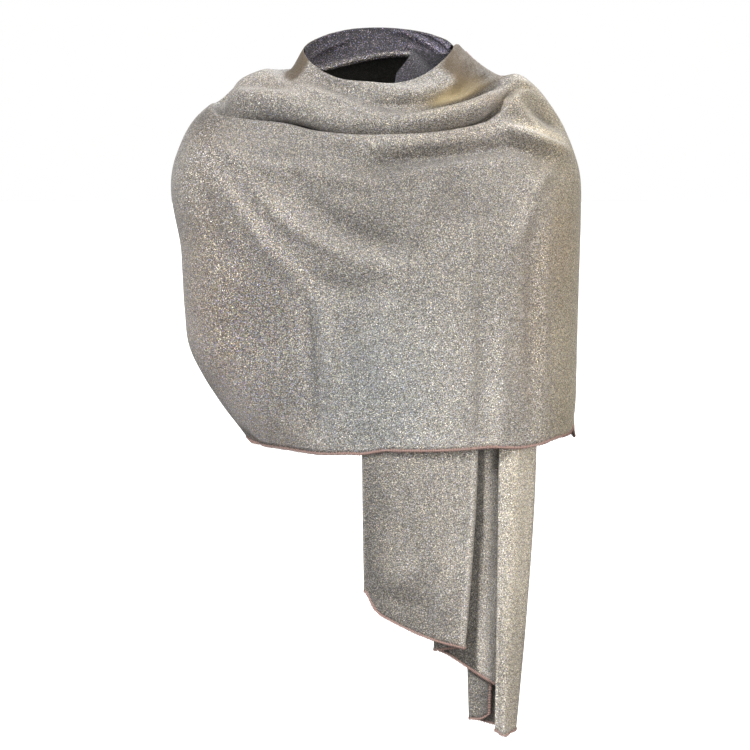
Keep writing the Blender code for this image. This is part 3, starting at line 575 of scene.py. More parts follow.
def front_surface(angle, ring):
    """The stretch across the front, with its rolls, tuck and creases."""
    base = ring_point(angle, ring)
    reach, tuck = tuck_line(angle)
    above, below = np.minimum(ring - tuck, 0.0), np.maximum(ring - tuck, 0.0)
    slit = np.exp(-(above / SLIT_ABOVE) ** 2 - (below / SLIT_BELOW) ** 2)
    distance = outer_lift(angle) + front_relief(base, angle)
    distance = distance + reach * (TUCK_BELLY * hump(tuck - BELLY_UP, BELLY_HALF, ring) - TUCK_DEPTH * slit)
    loose = ease(0.0, 1.0, ring) * ease(LEFT_SIDE, 80.0, np.abs(angle))
    point = moved_out(angle, ring, distance + slack(base) * loose)
    lips = sum(share * hump(tuck + down, half, ring) for down, half, share in TUCK_LIPS)
    hem = ease(*HEM_RINGS, ring)
    waves = sum(height * hump(middle, half, angle) for middle, half, height in HEM_WAVES)
    waves = waves + OVER_PLEATS_LIFT * between(*OVER_PLEATS, angle)
    ripple = np.sin(np.radians(angle * HEM_RIPPLES)) * ease(LEFT_SIDE, 70.0, np.abs(angle))
    point[..., 1] -= hem * HEM_RIPPLE * ripple
    point[..., 2] += reach * TUCK_LIP * lips + hem * waves
    shape_side_hem(point, angle, hem)
    return point


def back_surface(angle, ring):
    """The stretch round the back."""
    base = ring_point(angle, ring)
    creases = fold_relief(BACK_CREASES, base[..., [0, 2]]) * between(*BACK_CREASED, angle)
    uneven = slack(base) * between(*BACK_UNEVEN, angle)
    return moved_out(angle, ring, drop_relief(BACK_FOLDS, angle, ring) + creases + uneven)


def end_surface(angle, ring):
    """The outer end, over the left shoulder and down the back."""
    under = np.maximum(drop_relief(BACK_FOLDS, angle, ring), 0.0)
    rise = LAYER_LIFT + under + drop_relief(END_FOLDS, angle, ring)
    rise = rise + slack(ring_point(angle, ring)) * ease(96.0, 106.0, angle)
    point = moved_out(angle, ring, rise)
    point[..., 2] -= END_DROP * ease(6.0, LAST_RING, ring) * ease(LEFT_SIDE, END_HEM_ANGLE, angle)
    shape_side_hem(point, angle, ease(*HEM_RINGS, ring))
    return point


def under_surface(angle, ring):
    """The inner end where it comes over the left shoulder, inside the front."""
    share = ease(*UNDER_ANGLES, angle)
    point = ring_point(angle, ring)
    lean = share * ease(*INNER_TURN_RINGS, ring) * between(*INNER_TURN_ANGLES, angle)
    wave = 1 - UNDER_WAVE + UNDER_WAVE * np.sin(np.radians(angle * UNDER_WAVES))
    point[..., :2] *= 1 - UNDER_SHRINK * share[..., None] - UNDER_INSIDE * lean[..., None]
    point[..., 2] += UNDER_RISE * lean * wave - UNDER_SINK * share
    return point


def wound_point(turn, ring):
    """The whole cloth but its pleats, from inside the front to its end on the back."""
    angle = np.where(turn > BACK_ENDS, turn - 360.0, turn)
    point = np.zeros(turn.shape + (3,))
    stretches = (
        (turn < LEFT_SIDE, under_surface),
        ((turn >= LEFT_SIDE) & (turn <= BACK_ENDS), back_surface),
        ((turn > BACK_ENDS) & (turn <= FRONT_ENDS), front_surface),
        (turn > FRONT_ENDS, end_surface),
    )
    for here, surface in stretches:
        point[here] = surface(angle[here], ring[here])
    return point


def joined_runs(ends, counts):
    """Even steps from each value to the next, with so many points in each run."""
    runs = [np.linspace(ends[k], ends[k + 1], count)[:-1] for k, count in enumerate(counts)]
    return np.append(np.concatenate(runs), ends[-1])


def wound_grid(turns, shares):
    """Turn and ring of each point of the wound cloth."""
    turn, share = np.meshgrid(turns, shares)
    along = ease(UNDER_STARTS, LEFT_SIDE, turn)
    top = UNDER_TOP_RINGS[0] + (UNDER_TOP_RINGS[1] - UNDER_TOP_RINGS[0]) * along
    top = top * ease(*RIM_TURNS, turn)
    end_share = np.clip((turn - FRONT_ENDS) / (END_TOP_ANGLE - LEFT_SIDE), 0.0, 1.0)
    top = top + END_LOW_RING * end_share ** END_TOP_BOW
    top = top + FRONT_TOP_DROP * ease(FRONT_TOP_FROM, FRONT_ENDS, turn)
    low = UNDER_LOW_RING + (LAST_RING - UNDER_LOW_RING) * ease(*UNDER_LOW_TURNS, turn)
    ring = top + (low - top) * share
    early = ease(UNDER_LEAN_TO, UNDER_STARTS, turn) * (1 - share) ** UNDER_LEAN_BOW
    shift = (END_HEM_ANGLE - END_TOP_ANGLE) * ease(3.0, LAST_RING, ring) * end_share
    return turn + shift - UNDER_LEAN * early, ring


def nape_gather(share_round, share_down):
    """How far the gathers at the nape stand in from it."""
    gather = np.zeros(np.broadcast(share_round, share_down).shape)
    for start, lean, width, height in NAPE_GATHERS:
        gather += height * hump(start + lean * (GATHERS_START - share_round), width, share_down)
    return gather * ease(0.60, 0.25, share_round) * ease(0.0, 0.12, share_down)


def nape_point(share_round, share_down):
    """The turned-in edge at the nape: it leans forward as it falls and ends in a soft roll."""
    angle = NAPE_ANGLES[0] + (NAPE_ANGLES[1] - NAPE_ANGLES[0]) * share_round
    fade = np.sin(np.pi * share_round) ** 0.5
    top = ring_point(angle, np.zeros(angle.shape))
    out = outward(ring_point, angle, np.full(angle.shape, 0.05))
    out[..., 2] = 0.0
    out = out / np.linalg.norm(out, axis=-1, keepdims=True)
    fall = np.minimum(share_down / NAPE_ABOVE_ROLL, 1.0)
    curl = np.clip((share_down - NAPE_ABOVE_ROLL) / (1 - NAPE_ABOVE_ROLL), 0.0, 1.0) * NAPE_CURL
    roll = NAPE_ROLL * fade + NAPE_LEAST_ROLL
    inset = NAPE_TOP_INSET + fade * (NAPE_MIDDLE_INSET + NAPE_FALL_INSET * fall ** 0.5)
    inset = inset + NAPE_LOW_INSET * fade * fall ** 1.6 + roll * (1 - np.cos(curl))
    depth = (NAPE_DEPTH - NAPE_ROLL_DEPTH) * (NAPE_END_DEPTH + (1 - NAPE_END_DEPTH) * fade)
    depth = depth + NAPE_SAG * np.sin(2 * np.pi * share_round)
    along, down, half_along, half_down, hollow_depth = NAPE_HOLLOW
    past = share_round - along
    hollow = hump(0.0, half_along, past) * hump(down - NAPE_HOLLOW_SLANT * past, half_down, share_down)
    crest_down = NAPE_CREST_DOWN + NAPE_CREST_SLANT * (share_round - NAPE_CREST_ALONG)
    crest = hump(crest_down, NAPE_CREST_HALF, share_down) * between(*NAPE_CREST_ENDS, share_round)
    dimple = hollow_depth * hollow - NAPE_CREST * crest
    gather = nape_gather(share_round, share_down)
    point = top - out * (inset + gather - dimple)[..., None]
    point[..., 2] -= NAPE_SINK + depth * fall + roll * np.sin(curl)
    return point


def behind_front(x, z, behind):
    """The y of a point that lies so far behind the inner face of the front's solid."""
    half_front, middle_ring, rounds = 0.24, 9.0, 24
    small_angle, small_ring, least = 0.5, 0.02, 1e-7
    most_angle, most_ring, side = 6.0, 0.8, 80.0
    angle = np.degrees(np.arcsin(np.clip(x / half_front, -0.95, 0.95)))
    ring = np.full(np.shape(x), middle_ring)
    for _ in range(rounds):
        here = ring_point(angle, ring)
        by_angle = (ring_point(angle + small_angle, ring) - here) / small_angle
        by_ring = (ring_point(angle, ring + small_ring) - here) / small_ring
        miss_x, miss_z = x - here[..., 0], z - here[..., 2]
        span = by_angle[..., 0] * by_ring[..., 2] - by_ring[..., 0] * by_angle[..., 2]
        span = np.where(np.abs(span) < least, least, span)
        step_angle = (miss_x * by_ring[..., 2] - by_ring[..., 0] * miss_z) / span
        step_ring = (by_angle[..., 0] * miss_z - miss_x * by_angle[..., 2]) / span
        angle = np.clip(angle + np.clip(step_angle, -most_angle, most_angle), -side, side)
        ring = np.clip(ring + np.clip(step_ring, -most_ring, most_ring), 0.0, LAST_RING)
    base = ring_point(angle, ring)
    slope = 1 / np.clip(-outward(ring_point, angle, ring)[..., 1], 1 / MOST_SLOPE, 1.0)
    lifted = (outer_lift(angle) + np.minimum(front_relief(base, angle), 0.0)) * ease(-0.10, -0.16, z)
    return base[..., 1] + (SOLID_WALL + behind - lifted) * slope


def pleat_samples():
    """The cloth's way through its pleats: the fold it has left, the share of the way on, and of the bend."""
    samples = []
    last = len(PLEATS) - 1
    for row in range(last):
        length = abs(PLEAT["x_high"][row + 1] - PLEAT["x_high"][row])
        steps = max(3, round(length / PLEAT_STEP))
        straight = row > 0 and PLEAT["comes"][row] == PLEAT["leaves"][row]
        samples += [(row, share, 0.0) for share in np.linspace(0, 1, steps + 1)[int(straight):]]
        if row + 1 < last and PLEAT["comes"][row + 1] != PLEAT["leaves"][row + 1]:
            samples += [(row, 1.0, bend) for bend in np.linspace(0, 1, BEND_POINTS + 2)[1:-1]]
    return (np.array(values) for values in zip(*samples))


def pleat_plan(folds_x, row, share, bend):
    """x and the distance behind the front, for folds at these places across the cloth."""
    half = np.abs(PLEAT["leaves"] - PLEAT["comes"]) / 2
    start, stop = folds_x[..., row], folds_x[..., row + 1]
    way = np.sign(stop - start)
    first, final = start + way * half[row], stop - way * half[row + 1]
    turn = np.pi * bend
    comes, leaves = PLEAT["comes"][row + 1], PLEAT["leaves"][row + 1]
    x = first + (final - first) * share + way * half[row + 1] * np.sin(turn)
    behind = PLEAT["leaves"][row] + (comes - PLEAT["leaves"][row]) * share
    behind = behind + (leaves - comes) * (1 - np.cos(turn)) / 2
    return x, behind - PLEAT["swell"][row] * np.sin(np.pi * share)


def pleat_point(row, share, bend, share_down):
    """The middle of the pleated cloth, along its way and down its height."""
    hem = PLEAT["hem_z"][row] + (PLEAT["hem_z"][row + 1] - PLEAT["hem_z"][row]) * share
    hem = hem - PLEAT["hem_swell"][row] * np.sin(np.pi * share)
    z = PLEAT_TOP_Z + (hem - PLEAT_TOP_Z) * share_down
    hanging = np.clip((z - FRONT_HEM_Z) / (hem - FRONT_HEM_Z), 0.0, 1.0) ** PLEAT_LEAN
    rising = ease(FRONT_HEM_Z + 0.05, PLEAT_TOP_Z, z)
    high, low = PLEAT["x_high"], PLEAT["x_low"]
    spread = (high - high.min()) / (high.max() - high.min())
    top = PLEAT_TOP_X[0] + (PLEAT_TOP_X[1] - PLEAT_TOP_X[0]) * spread
    x_high, behind = pleat_plan(high, row, share, bend)
    x_low = pleat_plan(low, row, share, bend)[0]
    x_top = pleat_plan(top, row, share, bend)[0]
    x = x_high + (x_low - x_high) * hanging
    x = x + (x_top - x) * rising
    clear = SOLID_GAP + SOLID_WALL / 2 + PLEAT_CLEARANCE * ease(PLEAT_CLEAR_Z[1], PLEAT_CLEAR_Z[0], z)
    y = behind_front(x, np.maximum(z, FRONT_HEM_Z), clear + behind)
    free = ease(FRONT_HEM_Z + 0.01, FRONT_HEM_Z - 0.04, z)
    y = y + free * PANEL_WAVE * np.sin(x * 95.0 + 0.8 * np.sin(z * 40.0)) * np.sin(z * 38.0 + 1.0)
    foremost = ease(*DENTED_BEHIND, behind) * (row <= LAST_DENTED)
    y = y - fold_relief(PLEAT_FOLDS, np.stack([x, z], axis=-1)) * foremost
    return np.stack([x, y, z], axis=-1)


def wound_marks(turn, ring, points):
    """How plain each point of the wound cloth is, with its painted warm light, painted shade inside the neck,
    painted light and shade, hue and liveliness.
    """
    angle = turn - 360.0
    over_front = turn > BACK_ENDS
    ahead = ease(0.0, 0.25, np.cos(np.radians(angle))) * over_front
    place = points[..., [0, 2]]
    x, z = place[..., 0], place[..., 1]

    above_crease = z - np.interp(x, SATIN_CREASE_X, SATIN_CREASE_Z)
    past_side = x - np.interp(z, SATIN_SIDE_Z, SATIN_SIDE_X)
    plain = ease(0.0, SATIN_CREASE_FADE, above_crease) * ease(*SATIN_SIDE_FADE, past_side)
    plain = plain * ease(*SATIN_END_ANGLES, angle) * ease(*SATIN_END_X, x)
    plain = plain * (ring < SATIN_LOW_RING) * over_front
    plain = plain + COLLAR_SATIN * ease(*COLLAR_RINGS, ring) * between(*COLLAR_ANGLES, angle)
    # Painted warm light: gold on the left side, and a painted highlight along the crease
    gold = SIDE_WARM_LIGHT * between(*SIDE_WARM_LIGHT_ANGLES, angle) * ease(*SIDE_WARM_LIGHT_RINGS, ring)
    gold = gold + hump(*CREASE_HIGHLIGHT_X, x) * hump(*CREASE_HIGHLIGHT_Z, above_crease) * over_front

    reach, tuck = tuck_line(angle)
    in_tuck = reach * hump(tuck, TUCK_SHADE_HALF, ring) * ease(*TUCK_SHADE_ANGLES, angle)
    crests = front_relief(ring_point(angle, ring), angle) * over_front
    # Painted light and shade on the front: its places, glints, the slit's shade, light on crests and more
    # light lower down
    tone = 1 + (tone_at(FRONT_PAINTED_LIGHT, place) - 1) * ahead
    tone = tone * (1 + fold_relief(GLINTS, place) * ahead) * (1 + TUCK_SHADE * in_tuck * ahead)
    tone = tone * np.clip(1 + CREST_LIGHT * crests, *CREST_LIMITS)
    tone = tone * (LIGHT_ABOVE + LIGHT_GAIN * ease(*LIGHT_HEIGHTS, z))
    # The inner stretch is marked with painted shade, dark and blue
    return {"plain": np.clip(plain, 0, 1), "warm": np.clip(gold, 0, 1),
            "cool": ease(LEFT_SIDE, COOL_SHADE_TURN, turn), "tone": tone,
            "hue": 1 + (tone_at(FRONT_HUES, place) - 1) * ahead,
            "play": PLAY + MORE_PLAY * hump(*MORE_PLAY_X, x) * hump(*MORE_PLAY_Z, z) * ahead}


def nape_marks(share_round, share_down):
    """The same for the edge turned in at the nape."""
    # Painted light: lighter by the left shoulder and on the crests of the gathers; the painted shade inside
    # the neck is weaker on the roll
    light = 1.0 + NAPE_LIGHT * ease(*NAPE_LIGHT_PLACES, share_round)
    tone = light * (1.0 + NAPE_CREST_LIGHT * nape_gather(share_round, share_down))
    cool = 1.0 - NAPE_ROLL_LESS_SHADE * ease(*NAPE_ROLL_PLACES, share_down)
    return {"plain": 0.0, "warm": 0.0, "cool": cool, "tone": tone, "hue": 1.0, "play": NAPE_PLAY}


def pleat_marks(row, bend, points):
    """The same for the pleated end, panel by panel."""
    x, z = points[..., 0], points[..., 2]
    # Painted light and shade of each stretch, and on the foremost panel
    tones = np.array(PLEAT_PAINTED_LIGHT)
    tone = tones[row] + (tones[np.minimum(row + 1, len(tones) - 1)] - tones[row]) * bend
    tone = tone * (1 + (tone_at(PANEL_PAINTED_LIGHT, points[..., [0, 2]]) - 1) * np.isin(row, FOREMOST_PANELS))
    # Painted shadow beside the foremost panel
    beside = np.interp(z, SHADE_Z, SHADE_X) - x
    tone = tone * (1 + SHADE_CHANGE * ease(-SHADE_EDGE, SHADE_EDGE, beside) * np.isin(row, SHADED_PANELS))
    # Painted highlight along the foremost panel's edge
    edge = hump(np.interp(z, EDGE_Z, EDGE_X), EDGE_LIGHT_HALF, x)
    tone = tone * (1 + EDGE_LIGHT * edge * (row == FOREMOST_PANELS[-1]))
    tone = tone * (1 + ROLL_FADE * ease(*ROLL_FADE_HEIGHTS, z) * (row == ROLL_PANEL))
    # Painted warm light on the roll
    gold = PLEAT_WARM_LIGHT * ease(*PLEAT_WARM_LIGHT_X, x)
    return {"plain": 0.0, "warm": gold, "cool": 0.0, "tone": tone, "hue": 1.0, "play": PLEAT_PLAY}


class Wire:
    """A value or colour in a shader, which takes Python arithmetic."""

    def __init__(self, shader, socket):
        self.shader, self.socket = shader, socket

    def _maths(self, operation, first, second):
        return self.shader.node("ShaderNodeMath", {"operation": operation}, {0: first, 1: second})

    def __add__(self, other):
        return self._maths("ADD", self, other)

    def __sub__(self, other):
        return self._maths("SUBTRACT", self, other)

    def __mul__(self, other):
        return self._maths("MULTIPLY", self, other)

    def __pow__(self, other):
        return self._maths("POWER", self, other)

    def __gt__(self, other):
        return self._maths("GREATER_THAN", self, other)

    def __radd__(self, other):
        return self._maths("ADD", other, self)

    def __rsub__(self, other):
        return self._maths("SUBTRACT", other, self)


def set_stops(ramp, stops):
    """Gives a colour ramp these places and colours."""
    ramp.elements.remove(ramp.elements[1])
    ramp.elements[0].position, ramp.elements[0].color = stops[0]
    for place, colour in stops[1:]:
        ramp.elements.new(place).color = colour


class Shader:
    """One material and the nodes that are added to it."""

    def __init__(self, name):
        self.material = bpy.data.materials.new(name)
        self.material.use_nodes = True
        self.tree = self.material.node_tree
        self.surface = self.tree.nodes["Principled BSDF"]

    def node(self, kind, settings=None, inputs=None, out=0):
        made = self.tree.nodes.new(kind)
        for name, value in (settings or {}).items():
            if name == "stops":
                set_stops(made.color_ramp, value)
            else:
                setattr(made, name, value)
        for socket, value in (inputs or {}).items():
            self.join(value, made.inputs[socket])
        return Wire(self, made.outputs[out])

    def join(self, value, socket):
        if isinstance(value, Wire):
            self.tree.links.new(value.socket, socket)
        else:
            socket.default_value = value

    def other(self, wire, out):
        """Another output of the node that a wire comes from."""
        return Wire(self, wire.socket.node.outputs[out])

    def mix(self, share, first, second, blend="MIX"):
        settings = {"data_type": "RGBA", "blend_type": blend, "clamp_factor": True}
        return self.node("ShaderNodeMix", settings, {0: share, 6: first, 7: second}, 2)

    def times(self, first, second):
        return self.mix(1.0, first, second, "MULTIPLY")

    def vector(self, operation, first, second):
        return self.node("ShaderNodeVectorMath", {"operation": operation}, {0: first, 1: second})

    def set(self, **values):
        for name, value in values.items():
            self.join(value, self.surface.inputs[name.replace("_", " ")])


def grey(value):
    return (value, value, value, 1.0)


def mark(shader, name):
    """One of the cloth's marks, point by point."""
    return shader.node("ShaderNodeAttribute", {"attribute_name": name}, out="Fac")


def spotted(shader, place, scale, change):
    """A soft unevenness round 1, by so much up and down."""
    uneven = shader.node("ShaderNodeTexNoise", inputs={"Vector": place, "Scale": scale, "Detail": 2.0})
    stops = ((0.25, grey(1 - change)), (0.75, grey(1 + change)))
    return shader.node("ShaderNodeValToRGB", {"stops": stops}, {0: uneven})


def glitter_specks(shader, cloth):
    """A random colour for each speck of glitter."""
    place = shader.node("ShaderNodeTexCoord", out="Object")
    return place, shader.node("ShaderNodeTexVoronoi", {"feature": "F1"},
                              {"Vector": place, "Scale": 1.0 / cloth.speck_size, "Randomness": 1.0}, "Color")


def knit_relief(shader, cloth):
    """The height of the knit's columns and rows, uneven as in real cloth."""
    knit = shader.node("ShaderNodeUVMap", {"uv_map": "cloth"})
    columns, rows = (
        shader.node("ShaderNodeTexWave", {"wave_type": "BANDS", "bands_direction": direction},
                    {"Vector": knit, "Scale": 1.0 / cloth.stitch_size / 3.0, "Distortion": distortion,
                     "Detail": 1.0, "Detail Scale": 2.0}, "Fac") * share
        for direction, distortion, share in KNIT_LINES)
    return columns + rows


def glitter_mesh_material(cloth):
    """Fine knit with metallic thread: each speck has its own brightness, hue and tilt."""
    shader = Shader("glitter mesh")
    place, specks = glitter_specks(shader, cloth)
    parts = shader.node("ShaderNodeSeparateColor", inputs={0: specks})
    chance, hue, third = (shader.other(parts, k) for k in range(3))
    plain, warm, cool, play = (mark(shader, name) for name in ("plain", "warm", "cool", "play"))
    # Painted light and shade, multiplied into the cloth's colour
    tone = mark(shader, "tone")
    tone = shader.node("ShaderNodeCombineColor", inputs={0: tone, 1: tone, 2: tone})

    levels = [(at, grey(value)) for at, value in SPECK_LEVELS]
    level = shader.node("ShaderNodeValToRGB", {"stops": levels}, {0: chance})
    level = shader.mix(play * CONTRAST_GAIN - CONTRAST_START, level, shader.times(level, level))
    level = shader.mix(cool, level, shader.times(level, level))
    hues = shader.node("ShaderNodeValToRGB", {"stops": SPECK_HUES}, {0: hue})
    base = shader.times(tuple(cloth.cloth_colour) + (1.0,), shader.mix(play, grey(1.0), hues))
    # Painted shade inside the neck, dark and blue, then painted warm light in gold
    base = shader.mix(cool, base, shader.times(base, COOL_SHADE_TINT))
    base = shader.mix(warm, base, shader.times(base, WARM_LIGHT_TINT))
    base = shader.times(base, shader.mix(mark(shader, "hue") * 0.5, COOLER, WARMER))
    glitter = shader.times(shader.times(base, tone), level)
    for scale, change in SPOTS:
        glitter = shader.times(glitter, spotted(shader, place, scale, change))
    # The satin takes its painted gold highlight where the painted warm light lies
    satin = shader.mix(warm, tuple(cloth.satin_colour) + (1.0,), SATIN_GOLD_HIGHLIGHT)
    satin = shader.times(shader.mix(SATIN_SPECKS, satin, shader.times(satin, level)), tone)

    tilt = shader.vector("MULTIPLY", shader.vector("SUBTRACT", specks, (0.5,) * 3), (SPECK_TILT,) * 3)
    facing = shader.vector("ADD", shader.node("ShaderNodeNewGeometry", out="Normal"), tilt)
    facing = shader.node("ShaderNodeVectorMath", {"operation": "NORMALIZE"}, {0: facing})
    relief = knit_relief(shader, cloth) + third * 0.5
    bump = shader.node("ShaderNodeBump", inputs={"Strength": 0.20, "Distance": 0.0003, "Height": relief,
                                                 "Normal": facing})
    metal = chance > METAL_CHANCE
    shader.set(Base_Color=shader.mix(plain, glitter, satin), Roughness=0.55 - metal * 0.15,
               Metallic=metal * 0.35, Normal=bump, Sheen_Weight=0.12, Sheen_Roughness=0.45,
               Specular_IOR_Level=0.45)
    return shader.material


def reverse_material(cloth):
    """The dull inner side of the mesh."""
    shader = Shader("mesh reverse")
    chance = shader.node("ShaderNodeSeparateColor", inputs={0: glitter_specks(shader, cloth)[1]})
    dull, bright = (tuple(c * share for c in cloth.cloth_colour) + (1.0,) for share in REVERSE_SHARES)
    bump = shader.node("ShaderNodeBump", inputs={"Strength": 0.3, "Distance": 0.0003, "Height": chance})
    shader.set(Base_Color=shader.mix((chance ** 4.0) * 0.8, dull, bright), Roughness=0.6 - chance * 0.15,
               Normal=bump)
    return shader.material


def edge_thread_material(cloth):
    """Dusty pink overlock thread with a soft lustre."""
    shader = Shader("edge thread")
    place = shader.node("ShaderNodeTexCoord", out="Object")
    uneven = shader.node("ShaderNodeTexNoise", inputs={"Vector": place, "Scale": 420.0, "Detail": 3.0})
    long_fade = shader.node("ShaderNodeTexNoise", inputs={"Vector": place, "Scale": 22.0, "Detail": 1.0})
    pink = tuple(cloth.edge_colour) + (1.0,)
    dull = tuple(c * THREAD_DULL for c in cloth.edge_colour) + (1.0,)
    colour = shader.mix(uneven * 1.4 - 0.3, dull, pink)
    colour = shader.mix(long_fade * 0.5, colour, tuple(cloth.cloth_colour) + (1.0,))
    bump = shader.node("ShaderNodeBump", inputs={"Strength": 0.4, "Distance": 0.0002, "Height": uneven})
    shader.set(Base_Color=colour, Roughness=0.55 + uneven * 0.2, Normal=bump, Sheen_Weight=0.2)
    return shader.material


def floor_material():
    """A plain pale floor."""
    shader = Shader("pale floor")
    place = shader.node("ShaderNodeTexCoord", out="Object")
    uneven = shader.node("ShaderNodeTexNoise", inputs={"Vector": place, "Scale": 1.5, "Detail": 2.0})
    shader.set(Base_Color=shader.mix(uneven, grey(0.92), grey(0.96)), Roughness=0.9,
               Emission_Color=grey(1.0), Emission_Strength=0.35)
    return shader.material


def cloth_sheet(name, points, thickness, offset, materials, marks):
    """A thin sheet from a grid of points, with its own map in metres and its marks for the finish."""
    rows, columns = points.shape[:2]
    index = np.arange(rows * columns).reshape(rows, columns)
    faces = np.stack([index[:-1, :-1], index[1:, :-1], index[1:, 1:], index[:-1, 1:]], axis=-1).reshape(-1, 4)
    mesh = bpy.data.meshes.new(name)
    mesh.from_pydata(points.reshape(-1, 3).tolist(), [], faces.tolist())
    across = np.linalg.norm(np.diff(points, axis=1), axis=-1).mean(axis=0)
    down = np.linalg.norm(np.diff(points, axis=0), axis=-1)
    u = np.concatenate([[0.0], np.cumsum(across)])[None, :] * np.ones((rows, 1))
    v = np.concatenate([np.zeros((1, columns)), np.cumsum(down, axis=0)])
    flat = np.stack([u, -v], axis=-1).reshape(-1, 2)
    loops = np.empty(len(mesh.loops), np.int32)
    mesh.loops.foreach_get("vertex_index", loops)
    mesh.uv_layers.new(name="cloth").data.foreach_set("uv", flat[loops].astype(np.float32).ravel())
    for mark, values in marks.items():
        layer = mesh.attributes.new(mark, "FLOAT", "POINT")
        layer.data.foreach_set("value", np.broadcast_to(values, (rows, columns)).astype(np.float32).ravel())
    mesh.shade_smooth()
    for material in materials:
        mesh.materials.append(material)
    made = bpy.data.objects.new(name, mesh)
    bpy.context.scene.collection.objects.link(made)
    shell = made.modifiers.new("thickness", "SOLIDIFY")
    shell.thickness = thickness
    shell.offset = offset
    shell.material_offset = len(materials) - 1
    plain_mesh(made)
    return made


def plain_mesh(made):
    """Applies an object's modifiers and leaves a plain mesh."""
    graph = bpy.context.evaluated_depsgraph_get()
    mesh = bpy.data.meshes.new_from_object(made.evaluated_get(graph), depsgraph=graph)
    made.modifiers.clear()
    made.data = mesh


def edge_path(line, inner):
    """Along a cloth's edge: its points and the cloth's facing, from the next line into the cloth."""
    facing = np.cross(inner - line, np.gradient(line, axis=0))
    return line, facing / np.maximum(np.linalg.norm(facing, axis=-1, keepdims=True), 1e-9)


def stitch_mesh(cloth):
    """One turn of thread round the rolled edge."""
    around, thick, slant, height, flatness = 8, 4, 0.0004, 0.00105, 1.7
    mesh = bmesh.new()
    rings = []
    for i in range(around):
        turn = 2 * math.pi * i / around
        across, up = math.cos(turn), math.sin(turn)
        centre = Vector((slant * up, cloth.edge_width * 0.5 * across, height * up))
        outer = Vector((0.0, across, up))
        ring = []
        for j in range(thick):
            round_thread = 2 * math.pi * j / thick
            offset = outer * math.cos(round_thread) + Vector((1, 0, 0)) * math.sin(round_thread) * flatness
            ring.append(mesh.verts.new(centre + offset * cloth.thread_size * 0.5))
        rings.append(ring)
    for i in range(around):
        for j in range(thick):
            a, b = rings[i], rings[(i + 1) % around]
            mesh.faces.new((a[j], b[j], b[(j + 1) % thick], a[(j + 1) % thick]))
    bmesh.ops.recalc_face_normals(mesh, faces=mesh.faces)
    made = bpy.data.meshes.new("stitch")
    mesh.to_mesh(made)
    mesh.free()
    made.shade_smooth()
    return made


def sewn_edge_tree(stitch, material):
    """Turns of thread along an edge, at an even pitch, over a thin rolled core."""
    tree = bpy.data.node_groups.new("sewn edge", "GeometryNodeTree")
    tree.interface.new_socket("Geometry", in_out="INPUT", socket_type="NodeSocketGeometry")
    for name, default in (("Stitch Pitch", 0.002), ("Core Radius", 0.0008)):
        socket = tree.interface.new_socket(name, in_out="INPUT", socket_type="NodeSocketFloat")
        socket.default_value = default
    tree.interface.new_socket("Geometry", in_out="OUTPUT", socket_type="NodeSocketGeometry")

    def add(kind, settings=None, **inputs):
        made = tree.nodes.new(kind)
        for name, value in (settings or {}).items():
            setattr(made, name, value)
        for name, value in inputs.items():
            socket = made.inputs[name.replace("_", " ")]
            if isinstance(value, bpy.types.NodeSocket):
                tree.links.new(value, socket)
            else:
                socket.default_value = value
        return made

    given = add("NodeGroupInput")
    curve = add("GeometryNodeMeshToCurve", Mesh=given.outputs["Geometry"])
    even = add("GeometryNodeResampleCurve", {"mode": "LENGTH"}, Curve=curve.outputs[0],
               Length=given.outputs["Stitch Pitch"])
    facing = add("GeometryNodeInputNamedAttribute", {"data_type": "FLOAT_VECTOR"}, Name="facing")
    along = add("GeometryNodeInputTangent")
    first = add("FunctionNodeAlignRotationToVector", {"axis": "X"}, Vector=along.outputs[0])
    turned = add("FunctionNodeAlignRotationToVector", {"axis": "Z", "pivot_axis": "X"},
                 Rotation=first.outputs[0], Vector=facing.outputs[0])
    chance = add("FunctionNodeRandomValue", {"data_type": "FLOAT"}, Min=0.85, Max=1.15, Seed=7)
    part = add("GeometryNodeObjectInfo", Object=stitch)
    placed = add("GeometryNodeInstanceOnPoints", Points=even.outputs[0], Instance=part.outputs["Geometry"],
                 Rotation=turned.outputs[0], Scale=chance.outputs[1])
    real = add("GeometryNodeRealizeInstances", Geometry=placed.outputs[0])
    profile = add("GeometryNodeCurvePrimitiveCircle", {"mode": "RADIUS"}, Resolution=6,
                  Radius=given.outputs["Core Radius"])
    core = add("GeometryNodeCurveToMesh", Curve=even.outputs[0], Profile_Curve=profile.outputs[0],
               Fill_Caps=True)
    both = add("GeometryNodeJoinGeometry")
    tree.links.new(real.outputs[0], both.inputs[0])
    tree.links.new(core.outputs[0], both.inputs[0])
    finish = add("GeometryNodeSetMaterial", Geometry=both.outputs[0], Material=material)
    out = add("NodeGroupOutput")
    tree.links.new(finish.outputs[0], out.inputs[0])
    return tree


